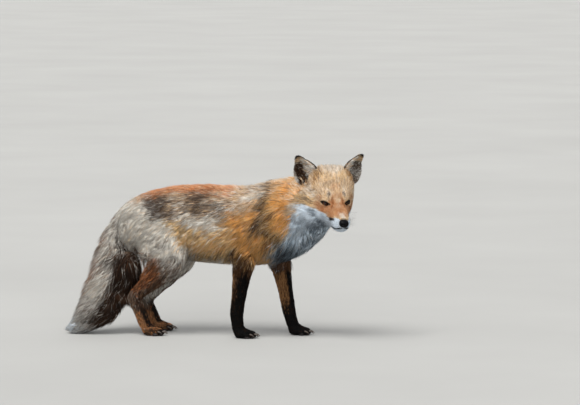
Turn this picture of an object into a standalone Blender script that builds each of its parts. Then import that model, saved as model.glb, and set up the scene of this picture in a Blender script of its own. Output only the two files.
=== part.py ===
"""Red fox, life size, standing with its head turned to its right: a still display model.

Frame: +X points forward, +Y to the animal's left, +Z up. The floor is Z = 0. Sizes are metres.
The solids give the outline out to the tips of the coat. The body is modelled whole, as lofts
along the spine, tail and legs that are fused into one skin, and is then parted with thin cuts.
"""

import math

import bmesh
import bpy
import numpy as np
from mathutils import Matrix, Vector

# Joins
CUT_GAP = 0.0005  # width of the cuts between the pieces
FIT_GAP = 0.0004  # room round a piece that is let into another
TAIL_GAP = 0.0006  # and round the root of the tail
FLOOR = 0.0

# Fused body
FUSE_VOXEL = 0.003
FUSE_PASSES = 9
BODY_TRIANGLES = 2500

# Cuts across the trunk
NECK_CUT = (0.170, 0, 0.300)
LOIN_CUT = (0.035, 0, 0.280)
RUMP_CUT = (-0.105, 0, 0.280)
FORELEG_TOP = 0.172
HINDLEG_TOP = 0.228

# Head: the frame's origin is midway between the eye centres
HEAD_ORIGIN = Vector((0.322, -0.050, 0.3475))
HEAD_YAW = math.radians(-57.5)
HEAD_PITCH = math.radians(18.0)  # nose down
EYE_ASIDE = 0.0274
EYE_RADIUS = 0.0105
NOSE_AHEAD = 0.0765
NOSE_DROP = -0.0230
NOSE_RADII = (0.0105, 0.0118, 0.0094)
HEAD_SIDES, HEAD_STEPS = 64, 6
HEAD_TRIANGLES = 1500

# Coat colours (linear) and finish, for the plain materials
COAT = (0.47, 0.22, 0.07)
BLACK = (0.012, 0.010, 0.010)
AMBER = (0.28, 0.12, 0.02)


def clear_scene():
    for thing in list(bpy.data.objects):
        bpy.data.objects.remove(thing, do_unlink=True)


def material(name, colour, roughness):
    made = bpy.data.materials.new(name)
    made.use_nodes = True
    shader = made.node_tree.nodes["Principled BSDF"]
    shader.inputs["Base Color"].default_value = (*colour, 1.0)
    shader.inputs["Roughness"].default_value = roughness
    shader.inputs["Metallic"].default_value = 0.0
    made.diffuse_color = (*colour, 1.0)
    return made


def link(name, mesh, finish=None):
    thing = bpy.data.objects.new(name, mesh)
    bpy.context.scene.collection.objects.link(thing)
    if finish:
        mesh.materials.clear()
        mesh.materials.append(finish)
    return thing


def baked(thing):
    """The object's evaluated mesh, with its modifiers taken in."""
    graph = bpy.context.evaluated_depsgraph_get()
    graph.update()
    return bpy.data.meshes.new_from_object(thing.evaluated_get(graph))


def apply_modifiers(thing):
    mesh = baked(thing)
    thing.modifiers.clear()
    thing.data = mesh
    return thing


# Lofts -------------------------------------------------------------------------------------


def spline(rows, steps):
    """Catmull-Rom through rows of numbers, with this many steps to each span."""
    rows = np.array(rows, float)
    padded = np.vstack([2 * rows[0] - rows[1], rows, 2 * rows[-1] - rows[-2]])
    out = []
    for k in range(1, len(padded) - 2):
        a, b, c, d = padded[k - 1 : k + 3]
        for t in np.arange(steps) / steps:
            out.append(
                0.5
                * (
                    2 * b
                    + (c - a) * t
                    + (2 * a - 5 * b + 4 * c - d) * t * t
                    + (3 * b - a - 3 * c + d) * t**3
                )
            )
    out.append(rows[-1])
    return np.array(out)


def ring(sides, wide, up, down, power):
    """A superellipse's points as (aside, upward), with its own height above and below."""
    turn = 2 * math.pi * np.arange(sides) / sides
    c, s = np.cos(turn), np.sin(turn)
    aside = wide * np.sign(c) * np.abs(c) ** (2 / power)
    tall = np.where(s > 0, up, down) * np.sign(s) * np.abs(s) ** (2 / power)
    return aside, tall


def skin_rings(name, rings):
    """A closed mesh over rings of points, with a point in the middle of each end."""
    count, sides = len(rings), len(rings[0])
    points = [tuple(p) for one in rings for p in one]
    points += [tuple(np.mean(rings[0], axis=0)), tuple(np.mean(rings[-1], axis=0))]
    faces = []
    for k in range(count - 1):
        for j in range(sides):
            n = (j + 1) % sides
            faces.append((k * sides + j, k * sides + n, (k + 1) * sides + n, (k + 1) * sides + j))
    first, last = count * sides, count * sides + 1
    for j in range(sides):
        n = (j + 1) % sides
        faces.append((first, n, j))
        faces.append((last, (count - 1) * sides + j, (count - 1) * sides + n))
    mesh = bpy.data.meshes.new(name)
    mesh.from_pydata(points, [], faces)
    shape = bmesh.new()
    shape.from_mesh(mesh)
    bmesh.ops.recalc_face_normals(shape, faces=shape.faces)
    shape.to_mesh(mesh)
    shape.free()
    return mesh


def loft(name, stations, side, steps=5, sides=28):
    """A tube through stations of (x, y, z, wide, up, down, power) across a side direction."""
    rows = spline(stations, steps)
    centres = rows[:, :3]
    along = np.gradient(centres, axis=0)
    rings = []
    for row, way in zip(rows, along):
        way = Vector(way).normalized()
        across = (Vector(side) - way * Vector(side).dot(way)).normalized()
        upward = way.cross(across)
        wide, up, down, power = row[3:7]
        aside, tall = ring(sides, max(wide, 0.001), max(up, 0.001), max(down, 0.001), power)
        rings.append([Vector(row[:3]) + across * a + upward * t for a, t in zip(aside, tall)])
    return link(name, skin_rings(name, rings))


def ball(name, centre, radii, turn=None, segments=20, rings=12):
    shape = bmesh.new()
    bmesh.ops.create_uvsphere(shape, u_segments=segments, v_segments=rings, radius=1.0)
    place = Matrix.Translation(centre) @ (turn or Matrix.Identity(4)) @ Matrix.Diagonal((*radii, 1))
    bmesh.ops.transform(shape, matrix=place, verts=shape.verts)
    mesh = bpy.data.meshes.new(name)
    shape.to_mesh(mesh)
    shape.free()
    return link(name, mesh)


# Fusing and cutting --------------------------------------------------------------------------


def fuse(name, things, voxel, passes, triangles):
    """One smooth closed mesh over overlapping ones."""
    shape = bmesh.new()
    for thing in things:
        mesh = baked(thing)
        shape.from_mesh(mesh)
        bpy.data.objects.remove(thing, do_unlink=True)
    mesh = bpy.data.meshes.new(name)
    shape.to_mesh(mesh)
    shape.free()
    whole = link(name, mesh)
    remesh = whole.modifiers.new("fuse", "REMESH")
    remesh.mode = "VOXEL"
    remesh.voxel_size = voxel
    smooth = whole.modifiers.new("smooth", "SMOOTH")
    smooth.factor = 0.5
    smooth.iterations = passes
    apply_modifiers(whole)
    thin = whole.modifiers.new("thin", "DECIMATE")
    thin.ratio = triangles / (2 * len(whole.data.polygons))
    thin.use_collapse_triangulate = True
    return apply_modifiers(whole)


def boolean(thing, cutter, operation):
    step = thing.modifiers.new(operation.lower(), "BOOLEAN")
    step.operation = operation
    step.solver = "EXACT"
    step.object = cutter
    return apply_modifiers(thing)


def fattened(thing, amount):
    """A copy whose surface stands off by this amount."""
    mesh = thing.data.copy()
    mesh.calc_loop_triangles()
    normals = np.empty(len(mesh.vertices) * 3)
    mesh.vertex_normals.foreach_get("vector", normals)
    points = np.empty(len(mesh.vertices) * 3)
    mesh.vertices.foreach_get("co", points)
    mesh.vertices.foreach_set("co", points + normals * amount)
    return link(thing.name + "_fat", mesh)


def clear_of(thing, other, room=FIT_GAP):
    """Cuts the other piece, with a little room round it, out of this one."""
    cutter = fattened(other, room)
    boolean(thing, cutter, "DIFFERENCE")
    bpy.data.objects.remove(cutter, do_unlink=True)
    return thing


def block(low, high):
    """A box cutter from its low corner to its high one."""
    shape = bmesh.new()
    bmesh.ops.create_cube(shape, size=1.0)
    low, high = Vector(low), Vector(high)
    place = Matrix.Translation((low + high) / 2) @ Matrix.Diagonal((*(high - low), 1))
    bmesh.ops.transform(shape, matrix=place, verts=shape.verts)
    mesh = bpy.data.meshes.new("block")
    shape.to_mesh(mesh)
    shape.free()
    return link("block", mesh)


def half_space(point, normal):
    """A big box whose one face passes through a point, reaching along the normal."""
    normal = Vector(normal).normalized()
    half = block((-1, -1, 0), (1, 1, 2))
    turn = normal.to_track_quat("Z", "Y").to_matrix().to_4x4()
    half.data.transform(Matrix.Translation(point) @ turn)
    return half


def take(whole, name, keep, drop):
    """Makes what is inside one cutter a piece of its own, and takes the other cutter off the rest."""
    piece = link(name, whole.data.copy())
    boolean(piece, keep, "INTERSECT")
    boolean(whole, drop, "DIFFERENCE")
    for cutter in (keep, drop):
        bpy.data.objects.remove(cutter, do_unlink=True)
    return piece


def take_block(whole, name, low, high):
    room = Vector((CUT_GAP,) * 3)
    return take(whole, name, block(low, high), block(Vector(low) - room, Vector(high) + room))


def part_off(whole, name, point, normal):
    """Cuts the end beyond a plane into a piece of its own."""
    step = Vector(normal).normalized() * CUT_GAP / 2
    keep = half_space(Vector(point) + step, normal)
    return take(whole, name, keep, half_space(Vector(point) - step, normal))


# The body ----------------------------------------------------------------------------------

SPINE = [
    # x, y, z, half width, up, down, power
    (-0.262, 0.000, 0.264, 0.022, 0.028, 0.026, 2.0),
    (-0.247, 0.000, 0.266, 0.044, 0.050, 0.048, 2.0),
    (-0.217, 0.000, 0.271, 0.060, 0.072, 0.072, 2.0),
    (-0.165, 0.000, 0.277, 0.067, 0.088, 0.088, 2.1),
    (-0.105, 0.000, 0.281, 0.067, 0.096, 0.093, 2.1),
    (-0.045, 0.000, 0.281, 0.070, 0.100, 0.096, 2.1),
    (0.020, 0.000, 0.280, 0.075, 0.101, 0.099, 2.1),
    (0.080, 0.000, 0.281, 0.078, 0.099, 0.101, 2.1),
    (0.130, 0.000, 0.285, 0.080, 0.101, 0.100, 2.1),
    (0.175, -0.001, 0.296, 0.079, 0.104, 0.098, 2.1),
    (0.214, -0.005, 0.311, 0.076, 0.098, 0.092, 2.1),
    (0.250, -0.012, 0.327, 0.069, 0.086, 0.080, 2.0),
    (0.280, -0.020, 0.340, 0.060, 0.070, 0.066, 2.0),
    (0.300, -0.026, 0.348, 0.040, 0.045, 0.045, 2.0),
]

TAIL = [
    (-0.212, 0.000, 0.318, 0.026, 0.022, 0.022, 2.0),
    (-0.234, 0.000, 0.300, 0.033, 0.032, 0.030, 2.0),
    (-0.256, -0.004, 0.255, 0.043, 0.044, 0.040, 2.0),
    (-0.264, -0.010, 0.205, 0.050, 0.062, 0.052, 2.0),
    (-0.270, -0.018, 0.157, 0.055, 0.070, 0.057, 2.0),
    (-0.286, -0.030, 0.109, 0.055, 0.062, 0.057, 2.0),
    (-0.307, -0.042, 0.068, 0.048, 0.056, 0.048, 2.0),
    (-0.330, -0.052, 0.037, 0.036, 0.036, 0.034, 2.0),
    (-0.356, -0.060, 0.017, 0.020, 0.020, 0.019, 2.0),
    (-0.376, -0.064, 0.007, 0.008, 0.009, 0.008, 2.0),
]


def foreleg(side, elbow, wrist, foot):
    """Stations from the shoulder down: joints are (x, z) and side is the leg's own y."""
    inward = 0.82
    (elbow_x, elbow_z), (wrist_x, wrist_z), (foot_x, foot_z) = elbow, wrist, foot
    third = ((elbow_x * 2 + wrist_x) / 3, (elbow_z * 2 + wrist_z) / 3)
    lower = ((elbow_x + wrist_x * 2) / 3, (elbow_z + wrist_z * 2) / 3)
    return [
        (elbow_x + 0.020, side * inward, 0.285, 0.031, 0.050, 0.050, 2.0),
        (elbow_x + 0.008, side * inward, 0.235, 0.032, 0.042, 0.042, 2.0),
        (elbow_x, side * 0.90, elbow_z, 0.0265, 0.033, 0.031, 2.0),
        (third[0], side * 0.96, third[1], 0.0200, 0.0245, 0.0230, 2.0),
        (lower[0], side, lower[1], 0.0175, 0.0200, 0.0190, 2.0),
        (wrist_x, side, wrist_z, 0.0170, 0.0180, 0.0175, 2.1),
        ((wrist_x + foot_x) / 2, side, (wrist_z + foot_z) / 2, 0.0165, 0.0160, 0.0155, 2.1),
        (foot_x, side, foot_z, 0.0170, 0.0155, 0.0145, 2.2),
        (foot_x + 0.006, side, 0.006, 0.0140, 0.0120, 0.0110, 2.2),
    ]


def hindleg(side, hip, knee, hock, foot):
    """Stations from the hip down: joints are (x, z) and side is the leg's own y."""
    (hip_x, hip_z), (knee_x, knee_z), (hock_x, hock_z), (foot_x, foot_z) = hip, knee, hock, foot
    return [
        (hip_x, side * 0.55, hip_z, 0.034, 0.062, 0.058, 2.0),
        ((hip_x + knee_x) / 2, side * 0.78, (hip_z + knee_z) / 2, 0.036, 0.062, 0.068, 2.0),
        (knee_x - 0.012, side * 0.95, knee_z + 0.002, 0.033, 0.044, 0.069, 2.0),
        ((knee_x * 2 + hock_x) / 3, side, (knee_z * 2 + hock_z) / 3, 0.0275, 0.0300, 0.0470, 2.0),
        ((knee_x + hock_x * 2) / 3, side, (knee_z + hock_z * 2) / 3, 0.0205, 0.0225, 0.0245, 2.0),
        (hock_x, side, hock_z, 0.0175, 0.0195, 0.0180, 2.0),
        ((hock_x * 2 + foot_x) / 3, side, (hock_z * 2 + foot_z) / 3, 0.0165, 0.0175, 0.0165, 2.0),
        ((hock_x + foot_x * 2) / 3, side, (hock_z + foot_z * 2) / 3, 0.0165, 0.0170, 0.0155, 2.1),
        (foot_x, side, foot_z, 0.0170, 0.0155, 0.0150, 2.2),
        (foot_x + 0.012, side, 0.007, 0.0140, 0.0110, 0.0100, 2.2),
    ]


LEGS = {
    # y of the leg, then its joints as (x, z)
    "fore_right": {"side": -0.050, "elbow": (0.083, 0.192), "wrist": (0.067, 0.062), "foot": (0.070, 0.024)},
    "fore_left": {"side": 0.048, "elbow": (0.154, 0.196), "wrist": (0.178, 0.064), "foot": (0.188, 0.026)},
    "hind_right": {
        "side": -0.054,
        "hip": (-0.168, 0.288),
        "knee": (-0.095, 0.194),
        "hock": (-0.202, 0.098),
        "foot": (-0.174, 0.030),
    },
    "hind_left": {
        "side": 0.052,
        "hip": (-0.168, 0.288),
        "knee": (-0.094, 0.194),
        "hock": (-0.204, 0.080),
        "foot": (-0.179, 0.030),
    },
}
PAW_LENGTH = 0.053
PAW_WIDTH = {"fore": 0.043, "hind": 0.039}
PAW_AHEAD = {"fore": 0.012, "hind": 0.016}  # from the leg's foot point to the middle of the sole
TOES = [(-0.36, 0.26), (-0.13, 0.44), (0.13, 0.44), (0.36, 0.26)]  # aside and ahead, as shares
CLAW_LENGTH = 0.013
CLAW_RADIUS = 0.0019


def limb(name):
    return name.split("_")[0]


def sole(name):
    """The middle of a foot on the floor, with its length and width."""
    leg = LEGS[name]
    x = leg["foot"][0] + PAW_AHEAD[limb(name)]
    return Vector((x, leg["side"], FLOOR)), PAW_LENGTH, PAW_WIDTH[limb(name)]


def paw(name):
    """The foot's body with four toes."""
    middle, length, width = sole(name)
    things = [ball(name + "_sole", middle + Vector((0, 0, 0.0115)), (length * 0.42, width * 0.50, 0.0155))]
    for aside, ahead in TOES:
        centre = middle + Vector((length * ahead, width * aside, 0.0086))
        things.append(ball(name + "_toe", centre, (length * 0.26, width * 0.155, 0.0118)))
    return things


def claws(name):
    """Four slim cones that reach forward and down from the toes, as one cutter."""
    middle, length, width = sole(name)
    shape = bmesh.new()
    for aside, ahead in TOES:
        root = middle + Vector((length * (ahead + 0.15), width * aside, 0.0095))
        way = Vector((0.90, 0.0, -0.44)).normalized()
        turn = way.to_track_quat("Z", "Y").to_matrix().to_4x4()
        bmesh.ops.create_cone(
            shape,
            cap_ends=True,
            segments=6,
            radius1=CLAW_RADIUS,
            radius2=0.0004,
            depth=CLAW_LENGTH,
            matrix=Matrix.Translation(root + way * CLAW_LENGTH * 0.25) @ turn,
        )
    mesh = bpy.data.meshes.new(name + "_claws")
    shape.to_mesh(mesh)
    shape.free()
    return link(mesh.name, mesh)


def body():
    across = (0, 1, 0)
    things = [loft("spine", SPINE, across, steps=4, sides=36)]
    for name, leg in LEGS.items():
        stations = foreleg(**leg) if limb(name) == "fore" else hindleg(**leg)
        things.append(loft(name, stations, across))
        things += paw(name)
    return fuse("trunk", things, FUSE_VOXEL, FUSE_PASSES, BODY_TRIANGLES)


def tail(finish):
    """The brush, bent to the right so that its end lies on the floor."""
    brush = loft("tail", TAIL, (0, 1, 0), steps=2, sides=20)
    brush.data.materials.append(finish)
    return brush


# The head ------------------------------------------------------------------------------------


def head_matrix():
    """Head frame to world: its X is forward, Y to the animal's left and Z up."""
    turn = Matrix.Rotation(HEAD_YAW, 4, "Z") @ Matrix.Rotation(HEAD_PITCH, 4, "Y")
    return Matrix.Translation(HEAD_ORIGIN) @ turn


SKULL = [
    # ahead, widest level, half width, top, bottom, power above, power below
    (-0.112, 0.000, 0.028, 0.032, -0.036, 2.0, 2.0),
    (-0.098, 0.002, 0.046, 0.054, -0.062, 2.2, 2.0),
    (-0.078, 0.004, 0.0595, 0.069, -0.077, 2.8, 1.9),
    (-0.056, 0.004, 0.0645, 0.0745, -0.078, 3.4, 1.9),
    (-0.036, 0.002, 0.0625, 0.0685, -0.074, 3.0, 2.0),
    (-0.018, -0.004, 0.0560, 0.0535, -0.068, 2.6, 2.2),
    (-0.004, -0.010, 0.0480, 0.037, -0.063, 2.3, 2.5),
    (0.009, -0.016, 0.0385, 0.021, -0.059, 2.2, 2.7),
    (0.022, -0.022, 0.0306, 0.0085, -0.0560, 2.3, 2.7),
    (0.036, -0.025, 0.0266, 0.001, -0.0550, 2.4, 2.6),
    (0.050, -0.027, 0.0241, -0.0040, -0.0545, 2.5, 2.6),
    (0.062, -0.028, 0.0215, -0.0085, -0.0530, 2.5, 2.6),
    (0.071, -0.029, 0.0175, -0.0120, -0.0485, 2.4, 2.4),
    (0.0765, -0.030, 0.0115, -0.0170, -0.0415, 2.2, 2.2),
]

# Pushes on the head's surface: centre (ahead, aside, up), reach, and the way it moves, on both sides
SCULPT = [
    ((0.013, 0.031, 0.001), 0.0110, (-0.0075, -0.0050, 0.0000)),  # eye hollow
    ((0.026, 0.021, -0.008), 0.0080, (-0.0015, -0.0030, 0.0000)),  # in front of the eye
    ((0.003, 0.028, 0.016), 0.0090, (0.0035, 0.0010, 0.0015)),  # brow
    ((0.010, 0.040, -0.016), 0.0120, (0.0020, 0.0025, 0.0000)),  # cheek bone
    ((-0.050, 0.056, -0.034), 0.0220, (-0.0020, 0.0030, -0.0020)),  # cheek ruff
    ((0.058, 0.020, -0.030), 0.0120, (0.0000, 0.0020, 0.0000)),  # whisker pad
    ((-0.008, 0.000, 0.048), 0.0150, (0.0000, 0.0000, -0.0030)),  # furrow of the forehead
]
# The closed mouth: a crease from under the nose back along the lips, as (ahead, aside, up)
MOUTH = [
    (0.0790, 0.000, -0.0350),
    (0.0725, 0.0110, -0.0376),
    (0.0600, 0.0195, -0.0416),
    (0.0380, 0.0235, -0.0455),
    (0.0160, 0.0275, -0.0490),
]
MOUTH_REACH = 0.0022
MOUTH_DEPTH = 0.0022


def away_from_line(points, line):
    """How far points are from a line of straight runs."""
    best = np.full(points.shape[:-1], np.inf)
    for start, end in zip(line[:-1], line[1:]):
        start, way = np.array(start), np.array(end) - np.array(start)
        share = np.clip((points - start) @ way / (way @ way), 0, 1)
        best = np.minimum(best, np.linalg.norm(points - start - share[..., None] * way, axis=-1))
    return best


def head_rings(sides, steps):
    rings = []
    for ahead, level, wide, top, bottom, above, below in spline(SKULL, steps):
        turn = 2 * math.pi * np.arange(sides) / sides
        c, s = np.cos(turn), np.sin(turn)
        power = np.where(s > 0, above, below)
        aside = wide * np.sign(c) * np.abs(c) ** (2 / power)
        reach = np.where(s > 0, top - level, level - bottom)
        tall = level + reach * np.sign(s) * np.abs(s) ** (2 / power)
        rings.append(np.stack([np.full(sides, ahead), aside, tall], axis=1))
    points = np.array(rings)
    for hand in (1, -1):
        mirror = np.array([1, hand, 1])
        for centre, reach, push in SCULPT:
            share = 0.5 if centre[1] == 0 else 1.0
            far = np.linalg.norm(points - np.array(centre) * mirror, axis=2)
            points = points + share * np.exp(-((far / reach) ** 2))[..., None] * np.array(push) * mirror
        crease = np.exp(-((away_from_line(points, np.array(MOUTH) * mirror) / MOUTH_REACH) ** 2))
        outward = np.sign(points[..., 1:2]) * np.array([0, 0.94, 0]) + np.array([0.35, 0, 0])
        points = points - MOUTH_DEPTH * crease[..., None] * outward
    return points


def head(finish):
    mesh = skin_rings("head", head_rings(HEAD_SIDES, HEAD_STEPS))
    mesh.transform(head_matrix())
    skull = link("head", mesh, finish)
    thin = skull.modifiers.new("thin", "DECIMATE")
    thin.ratio = HEAD_TRIANGLES / (2 * len(mesh.polygons))
    apply_modifiers(skull)
    return skull


EAR_ROOT_ASIDE, EAR_TIP_ASIDE = 0.0515, 0.0920
EAR_TALL = 0.074
EAR_WIDE = 0.0315  # half the width
EAR_WALL = 0.0035
EAR_CUP = 0.95  # half the angle that the ear wraps round at its root, in radians
EAR_TAPER = 0.18  # how much the outer edge draws in at the root
EAR_ROWS, EAR_COLUMNS = 8, 9


def ear(name, hand, finish):
    """A cupped ear: a curved leaf, thickened, whose hollow faces forward and a little out."""
    root = Vector((-0.060, hand * EAR_ROOT_ASIDE, 0.0340))
    up = (Vector((-0.064, hand * EAR_TIP_ASIDE, 0.1030)) - root).normalized()
    facing = Vector((0.93, hand * 0.36, 0.10))
    facing = (facing - up * facing.dot(up)).normalized()
    across = up.cross(facing)
    points, faces = [], []
    for i in range(EAR_ROWS):
        v = i / (EAR_ROWS - 1)
        swell = 0.58 + 0.44 * math.sin(math.pi * min(1, 1.15 * v + 0.15))
        half = max(EAR_WIDE * (1 - v**3.0) ** 0.56 * swell, 0.002)
        wrap = EAR_CUP * (1.15 - 0.65 * v)
        for j in range(EAR_COLUMNS):
            bend = wrap * (2 * j / (EAR_COLUMNS - 1) - 1)
            radius = half / math.sin(wrap)
            lean = -0.012 - 0.010 * math.sin(math.pi * v)
            deep = radius * (1 - math.cos(bend)) + lean
            aside = radius * math.sin(bend)
            if aside * hand > 0:
                aside *= 1 - EAR_TAPER * (1 - v) ** 2
            points.append(root + up * (EAR_TALL * v) + across * aside + facing * deep)
    for i in range(EAR_ROWS - 1):
        for j in range(EAR_COLUMNS - 1):
            a = i * EAR_COLUMNS + j
            faces.append((a, a + 1, a + 1 + EAR_COLUMNS, a + EAR_COLUMNS))
    mesh = bpy.data.meshes.new(name)
    mesh.from_pydata([tuple(p) for p in points], [], faces)
    mesh.transform(head_matrix())
    leaf = link(name, mesh, finish)
    wall = leaf.modifiers.new("wall", "SOLIDIFY")
    wall.thickness = EAR_WALL
    wall.offset = 0.0
    apply_modifiers(leaf)
    shape = bmesh.new()
    shape.from_mesh(leaf.data)
    bmesh.ops.recalc_face_normals(shape, faces=shape.faces)
    shape.to_mesh(leaf.data)
    shape.free()
    return leaf


def nose(finish):
    """The bare nose pad, let into the end of the muzzle."""
    place = head_matrix()
    turn = place.to_quaternion().to_matrix().to_4x4()
    pad = ball("nose", place @ Vector((NOSE_AHEAD, 0, NOSE_DROP)), NOSE_RADII, turn, 12, 8)
    pad.data.materials.append(finish)
    return pad


def eye(name, hand, finish):
    orb = ball(name, head_matrix() @ Vector((0, hand * EYE_ASIDE, 0)), (EYE_RADIUS,) * 3, None, 10, 6)
    orb.data.materials.append(finish)
    return orb


# Parting and assembly --------------------------------------------------------------------------


def drop_crumbs(piece):
    """Keeps a piece's largest body, without the crumbs that a cut can leave beside it."""
    shape = bmesh.new()
    shape.from_mesh(piece.data)
    unseen = set(shape.verts)
    bodies = []
    while unseen:
        edge = [unseen.pop()]
        found = set(edge)
        while edge:
            for line in edge.pop().link_edges:
                for point in line.verts:
                    if point not in found:
                        found.add(point)
                        edge.append(point)
        unseen -= found
        bodies.append(found)
    bodies.sort(key=len)
    bmesh.ops.delete(shape, geom=[point for found in bodies[:-1] for point in found], context="VERTS")
    shape.to_mesh(piece.data)
    shape.free()


def finish(piece, coat):
    """One body with one material all over, its cut faces too."""
    drop_crumbs(piece)
    piece.data.materials.clear()
    piece.data.materials.append(coat)
    piece.data.polygons.foreach_set("material_index", [0] * len(piece.data.polygons))


def part_legs(whole, coats):
    """Takes the four legs off the trunk, then parts each at its joints."""
    made = []
    for name, leg in LEGS.items():
        hand = 1 if leg["side"] > 0 else -1
        if limb(name) == "fore":
            x = (leg["elbow"][0] + leg["foot"][0]) / 2
            low = (x - 0.075, min(0, hand * 0.16), -0.02)
            high = (x + 0.075, max(0, hand * 0.16), FORELEG_TOP)
            cuts = [("paw", leg["wrist"], (0, 0, -1))]
            upper = "forearm"
        else:
            low = (-0.300, min(0, hand * 0.16), -0.02)
            high = (-0.052, max(0, hand * 0.16), HINDLEG_TOP)
            (knee_x, knee_z), (hock_x, hock_z) = leg["knee"], leg["hock"]
            below = (knee_x + 0.24 * (hock_x - knee_x), knee_z + 0.24 * (hock_z - knee_z))
            cuts = [
                ("foot", leg["hock"], (0.12, 0, -1)),
                ("shank", below, (hock_x - knee_x, 0, hock_z - knee_z)),
            ]
            upper = "thigh"
        rest = take_block(whole, f"{upper}_{name}", low, high)
        for label, (x, z), normal in cuts:
            made.append(part_off(rest, f"{label}_{name}", (x, leg["side"], z), normal))
        made.append(rest)
        pieces = made[-len(cuts) - 1 :]
        horn = claws(name)
        boolean(pieces[0], horn, "UNION")
        bpy.data.objects.remove(horn, do_unlink=True)
        for piece in pieces:
            finish(piece, coats["coat" if piece.name.startswith(("thigh", "shank")) else "dark"])
    return made


def part_trunk(whole, coats):
    """Cuts the trunk across into neck, chest, loin and rump."""
    made = []
    for name, point, normal in [
        ("neck", NECK_CUT, (0.93, 0, 0.36)),
        ("rump", RUMP_CUT, (-1, 0, 0)),
        ("loin", LOIN_CUT, (-1, 0, 0)),
    ]:
        made.append(part_off(whole, name, point, normal))
    whole.name = "chest"
    made.append(whole)
    for piece in made:
        finish(piece, coats["coat"])
    return made


def centre_on_floor(things):
    """Moves everything so that the middle of the outline stands over the origin."""
    corners = np.array([point.co[:] for thing in things for point in thing.data.vertices])
    shift = -(corners.min(0) + corners.max(0)) / 2
    for thing in things:
        thing.data.transform(Matrix.Translation((shift[0], shift[1], 0)))


def build():
    clear_scene()
    coats = {
        "coat": material("coat", COAT, 0.85),
        "dark": material("dark_coat", BLACK, 0.80),
    }
    bare = material("nose_skin", BLACK, 0.40)
    iris = material("eye", AMBER, 0.10)

    skull = head(coats["coat"])
    pad = nose(bare)
    eyes = [eye("eye_left", 1, iris), eye("eye_right", -1, iris)]
    for part in (pad, *eyes):
        clear_of(skull, part)
    ears = [ear("ear_left", 1, coats["coat"]), ear("ear_right", -1, coats["coat"])]
    brush = tail(coats["coat"])
    whole = body()
    floor = block((-1, -1, -0.2), (1, 1, FLOOR))
    for piece in (whole, brush):
        boolean(piece, floor, "DIFFERENCE")
    bpy.data.objects.remove(floor, do_unlink=True)
    clear_of(whole, skull)
    clear_of(whole, brush, TAIL_GAP)
    for leaf in ears:
        clear_of(leaf, skull)
        clear_of(leaf, whole)
    legs = part_legs(whole, coats)
    trunk = part_trunk(whole, coats)
    centre_on_floor([skull, pad, *eyes, *ears, brush, *legs, *trunk])


build()
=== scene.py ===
"""Red fox, life size, standing with its head turned to its right: its looks over the solids.

Frame: +X points forward, +Y to the animal's left, +Z up, and the floor is Z = 0. Sizes are metres.
The body's places are written for eyes at the point EYES, midway between the two eye centres, and
SHIFT carries them to the solids' eyes. The head's places are in the head's own frame, which starts
at that point: ahead, aside (its left) and up.
"""

import math
from collections import namedtuple

import bmesh
import bpy
import numpy as np
from mathutils import Matrix, Vector
from mathutils.bvhtree import BVHTree
from mathutils.kdtree import KDTree


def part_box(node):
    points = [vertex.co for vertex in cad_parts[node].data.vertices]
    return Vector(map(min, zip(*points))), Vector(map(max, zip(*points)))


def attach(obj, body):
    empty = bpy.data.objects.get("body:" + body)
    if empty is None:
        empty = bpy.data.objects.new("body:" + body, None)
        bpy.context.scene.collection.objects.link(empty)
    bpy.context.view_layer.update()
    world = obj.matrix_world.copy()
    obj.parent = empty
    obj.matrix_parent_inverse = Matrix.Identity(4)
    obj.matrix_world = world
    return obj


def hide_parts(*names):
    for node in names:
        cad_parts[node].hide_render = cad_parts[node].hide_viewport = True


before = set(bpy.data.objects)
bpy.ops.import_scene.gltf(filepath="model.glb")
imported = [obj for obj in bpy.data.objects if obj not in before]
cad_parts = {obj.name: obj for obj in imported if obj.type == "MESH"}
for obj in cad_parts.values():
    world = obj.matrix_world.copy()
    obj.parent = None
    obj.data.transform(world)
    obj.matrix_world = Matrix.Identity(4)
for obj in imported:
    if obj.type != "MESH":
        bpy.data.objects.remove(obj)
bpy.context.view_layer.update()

# Where the head sits
EYES = np.array([0.322, -0.05, 0.3475])
HEAD_YAW = math.radians(-57.5)
HEAD_PITCH = math.radians(18.0)  # nose down
EYE_ASIDE = 0.0274
EYE_RADIUS = 0.0105

# View
VIEW_AZIMUTH = math.radians(14.0)
VIEW_ELEVATION = math.radians(5.0)
VIEW_DISTANCE = 9.0
VIEW_WIDTH = 1.45
VIEW_LEFT_OF_EYES = 0.1128
VIEW_ABOVE_EYES = 0.0011

LEGS = ("fore_left", "fore_right", "hind_left", "hind_right")
FLOOR_GAP = 0.0004  # hair keeps this far off the floor


def foot_node(leg):
    return ("paw_" if "fore" in leg else "foot_") + leg


def node_middle(name):
    low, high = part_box(name)
    return (low + high) / 2


SHIFT = np.array((node_middle("eye_left") + node_middle("eye_right")) / 2) - EYES
HEAD_TURN = Matrix.Rotation(HEAD_YAW, 3, "Z") @ Matrix.Rotation(HEAD_PITCH, 3, "Y")
HEAD_AXES = np.array(HEAD_TURN)  # its columns are the head's ahead, aside and up


def head_to_world(points):
    return np.asarray(points, float) @ HEAD_AXES.T + EYES + SHIFT


def world_to_head(points):
    return (np.asarray(points, float) - EYES - SHIFT) @ HEAD_AXES


def one_side(points):
    """Points with those on the right side mirrored to the left."""
    return points * [1, 0, 1] + np.abs(points) * [0, 1, 0]


# ---- Numbers ----


def unit(vectors):
    return vectors / np.maximum(np.linalg.norm(vectors, axis=-1, keepdims=True), 1e-9)


def smoothstep(low, high, x):
    t = np.clip((x - low) / (high - low), 0, 1)
    return t * t * (3 - 2 * t)


def fall(low, high, x):
    """The other way round: 1 below low and 0 above high."""
    return 1 - smoothstep(low, high, x)


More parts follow.
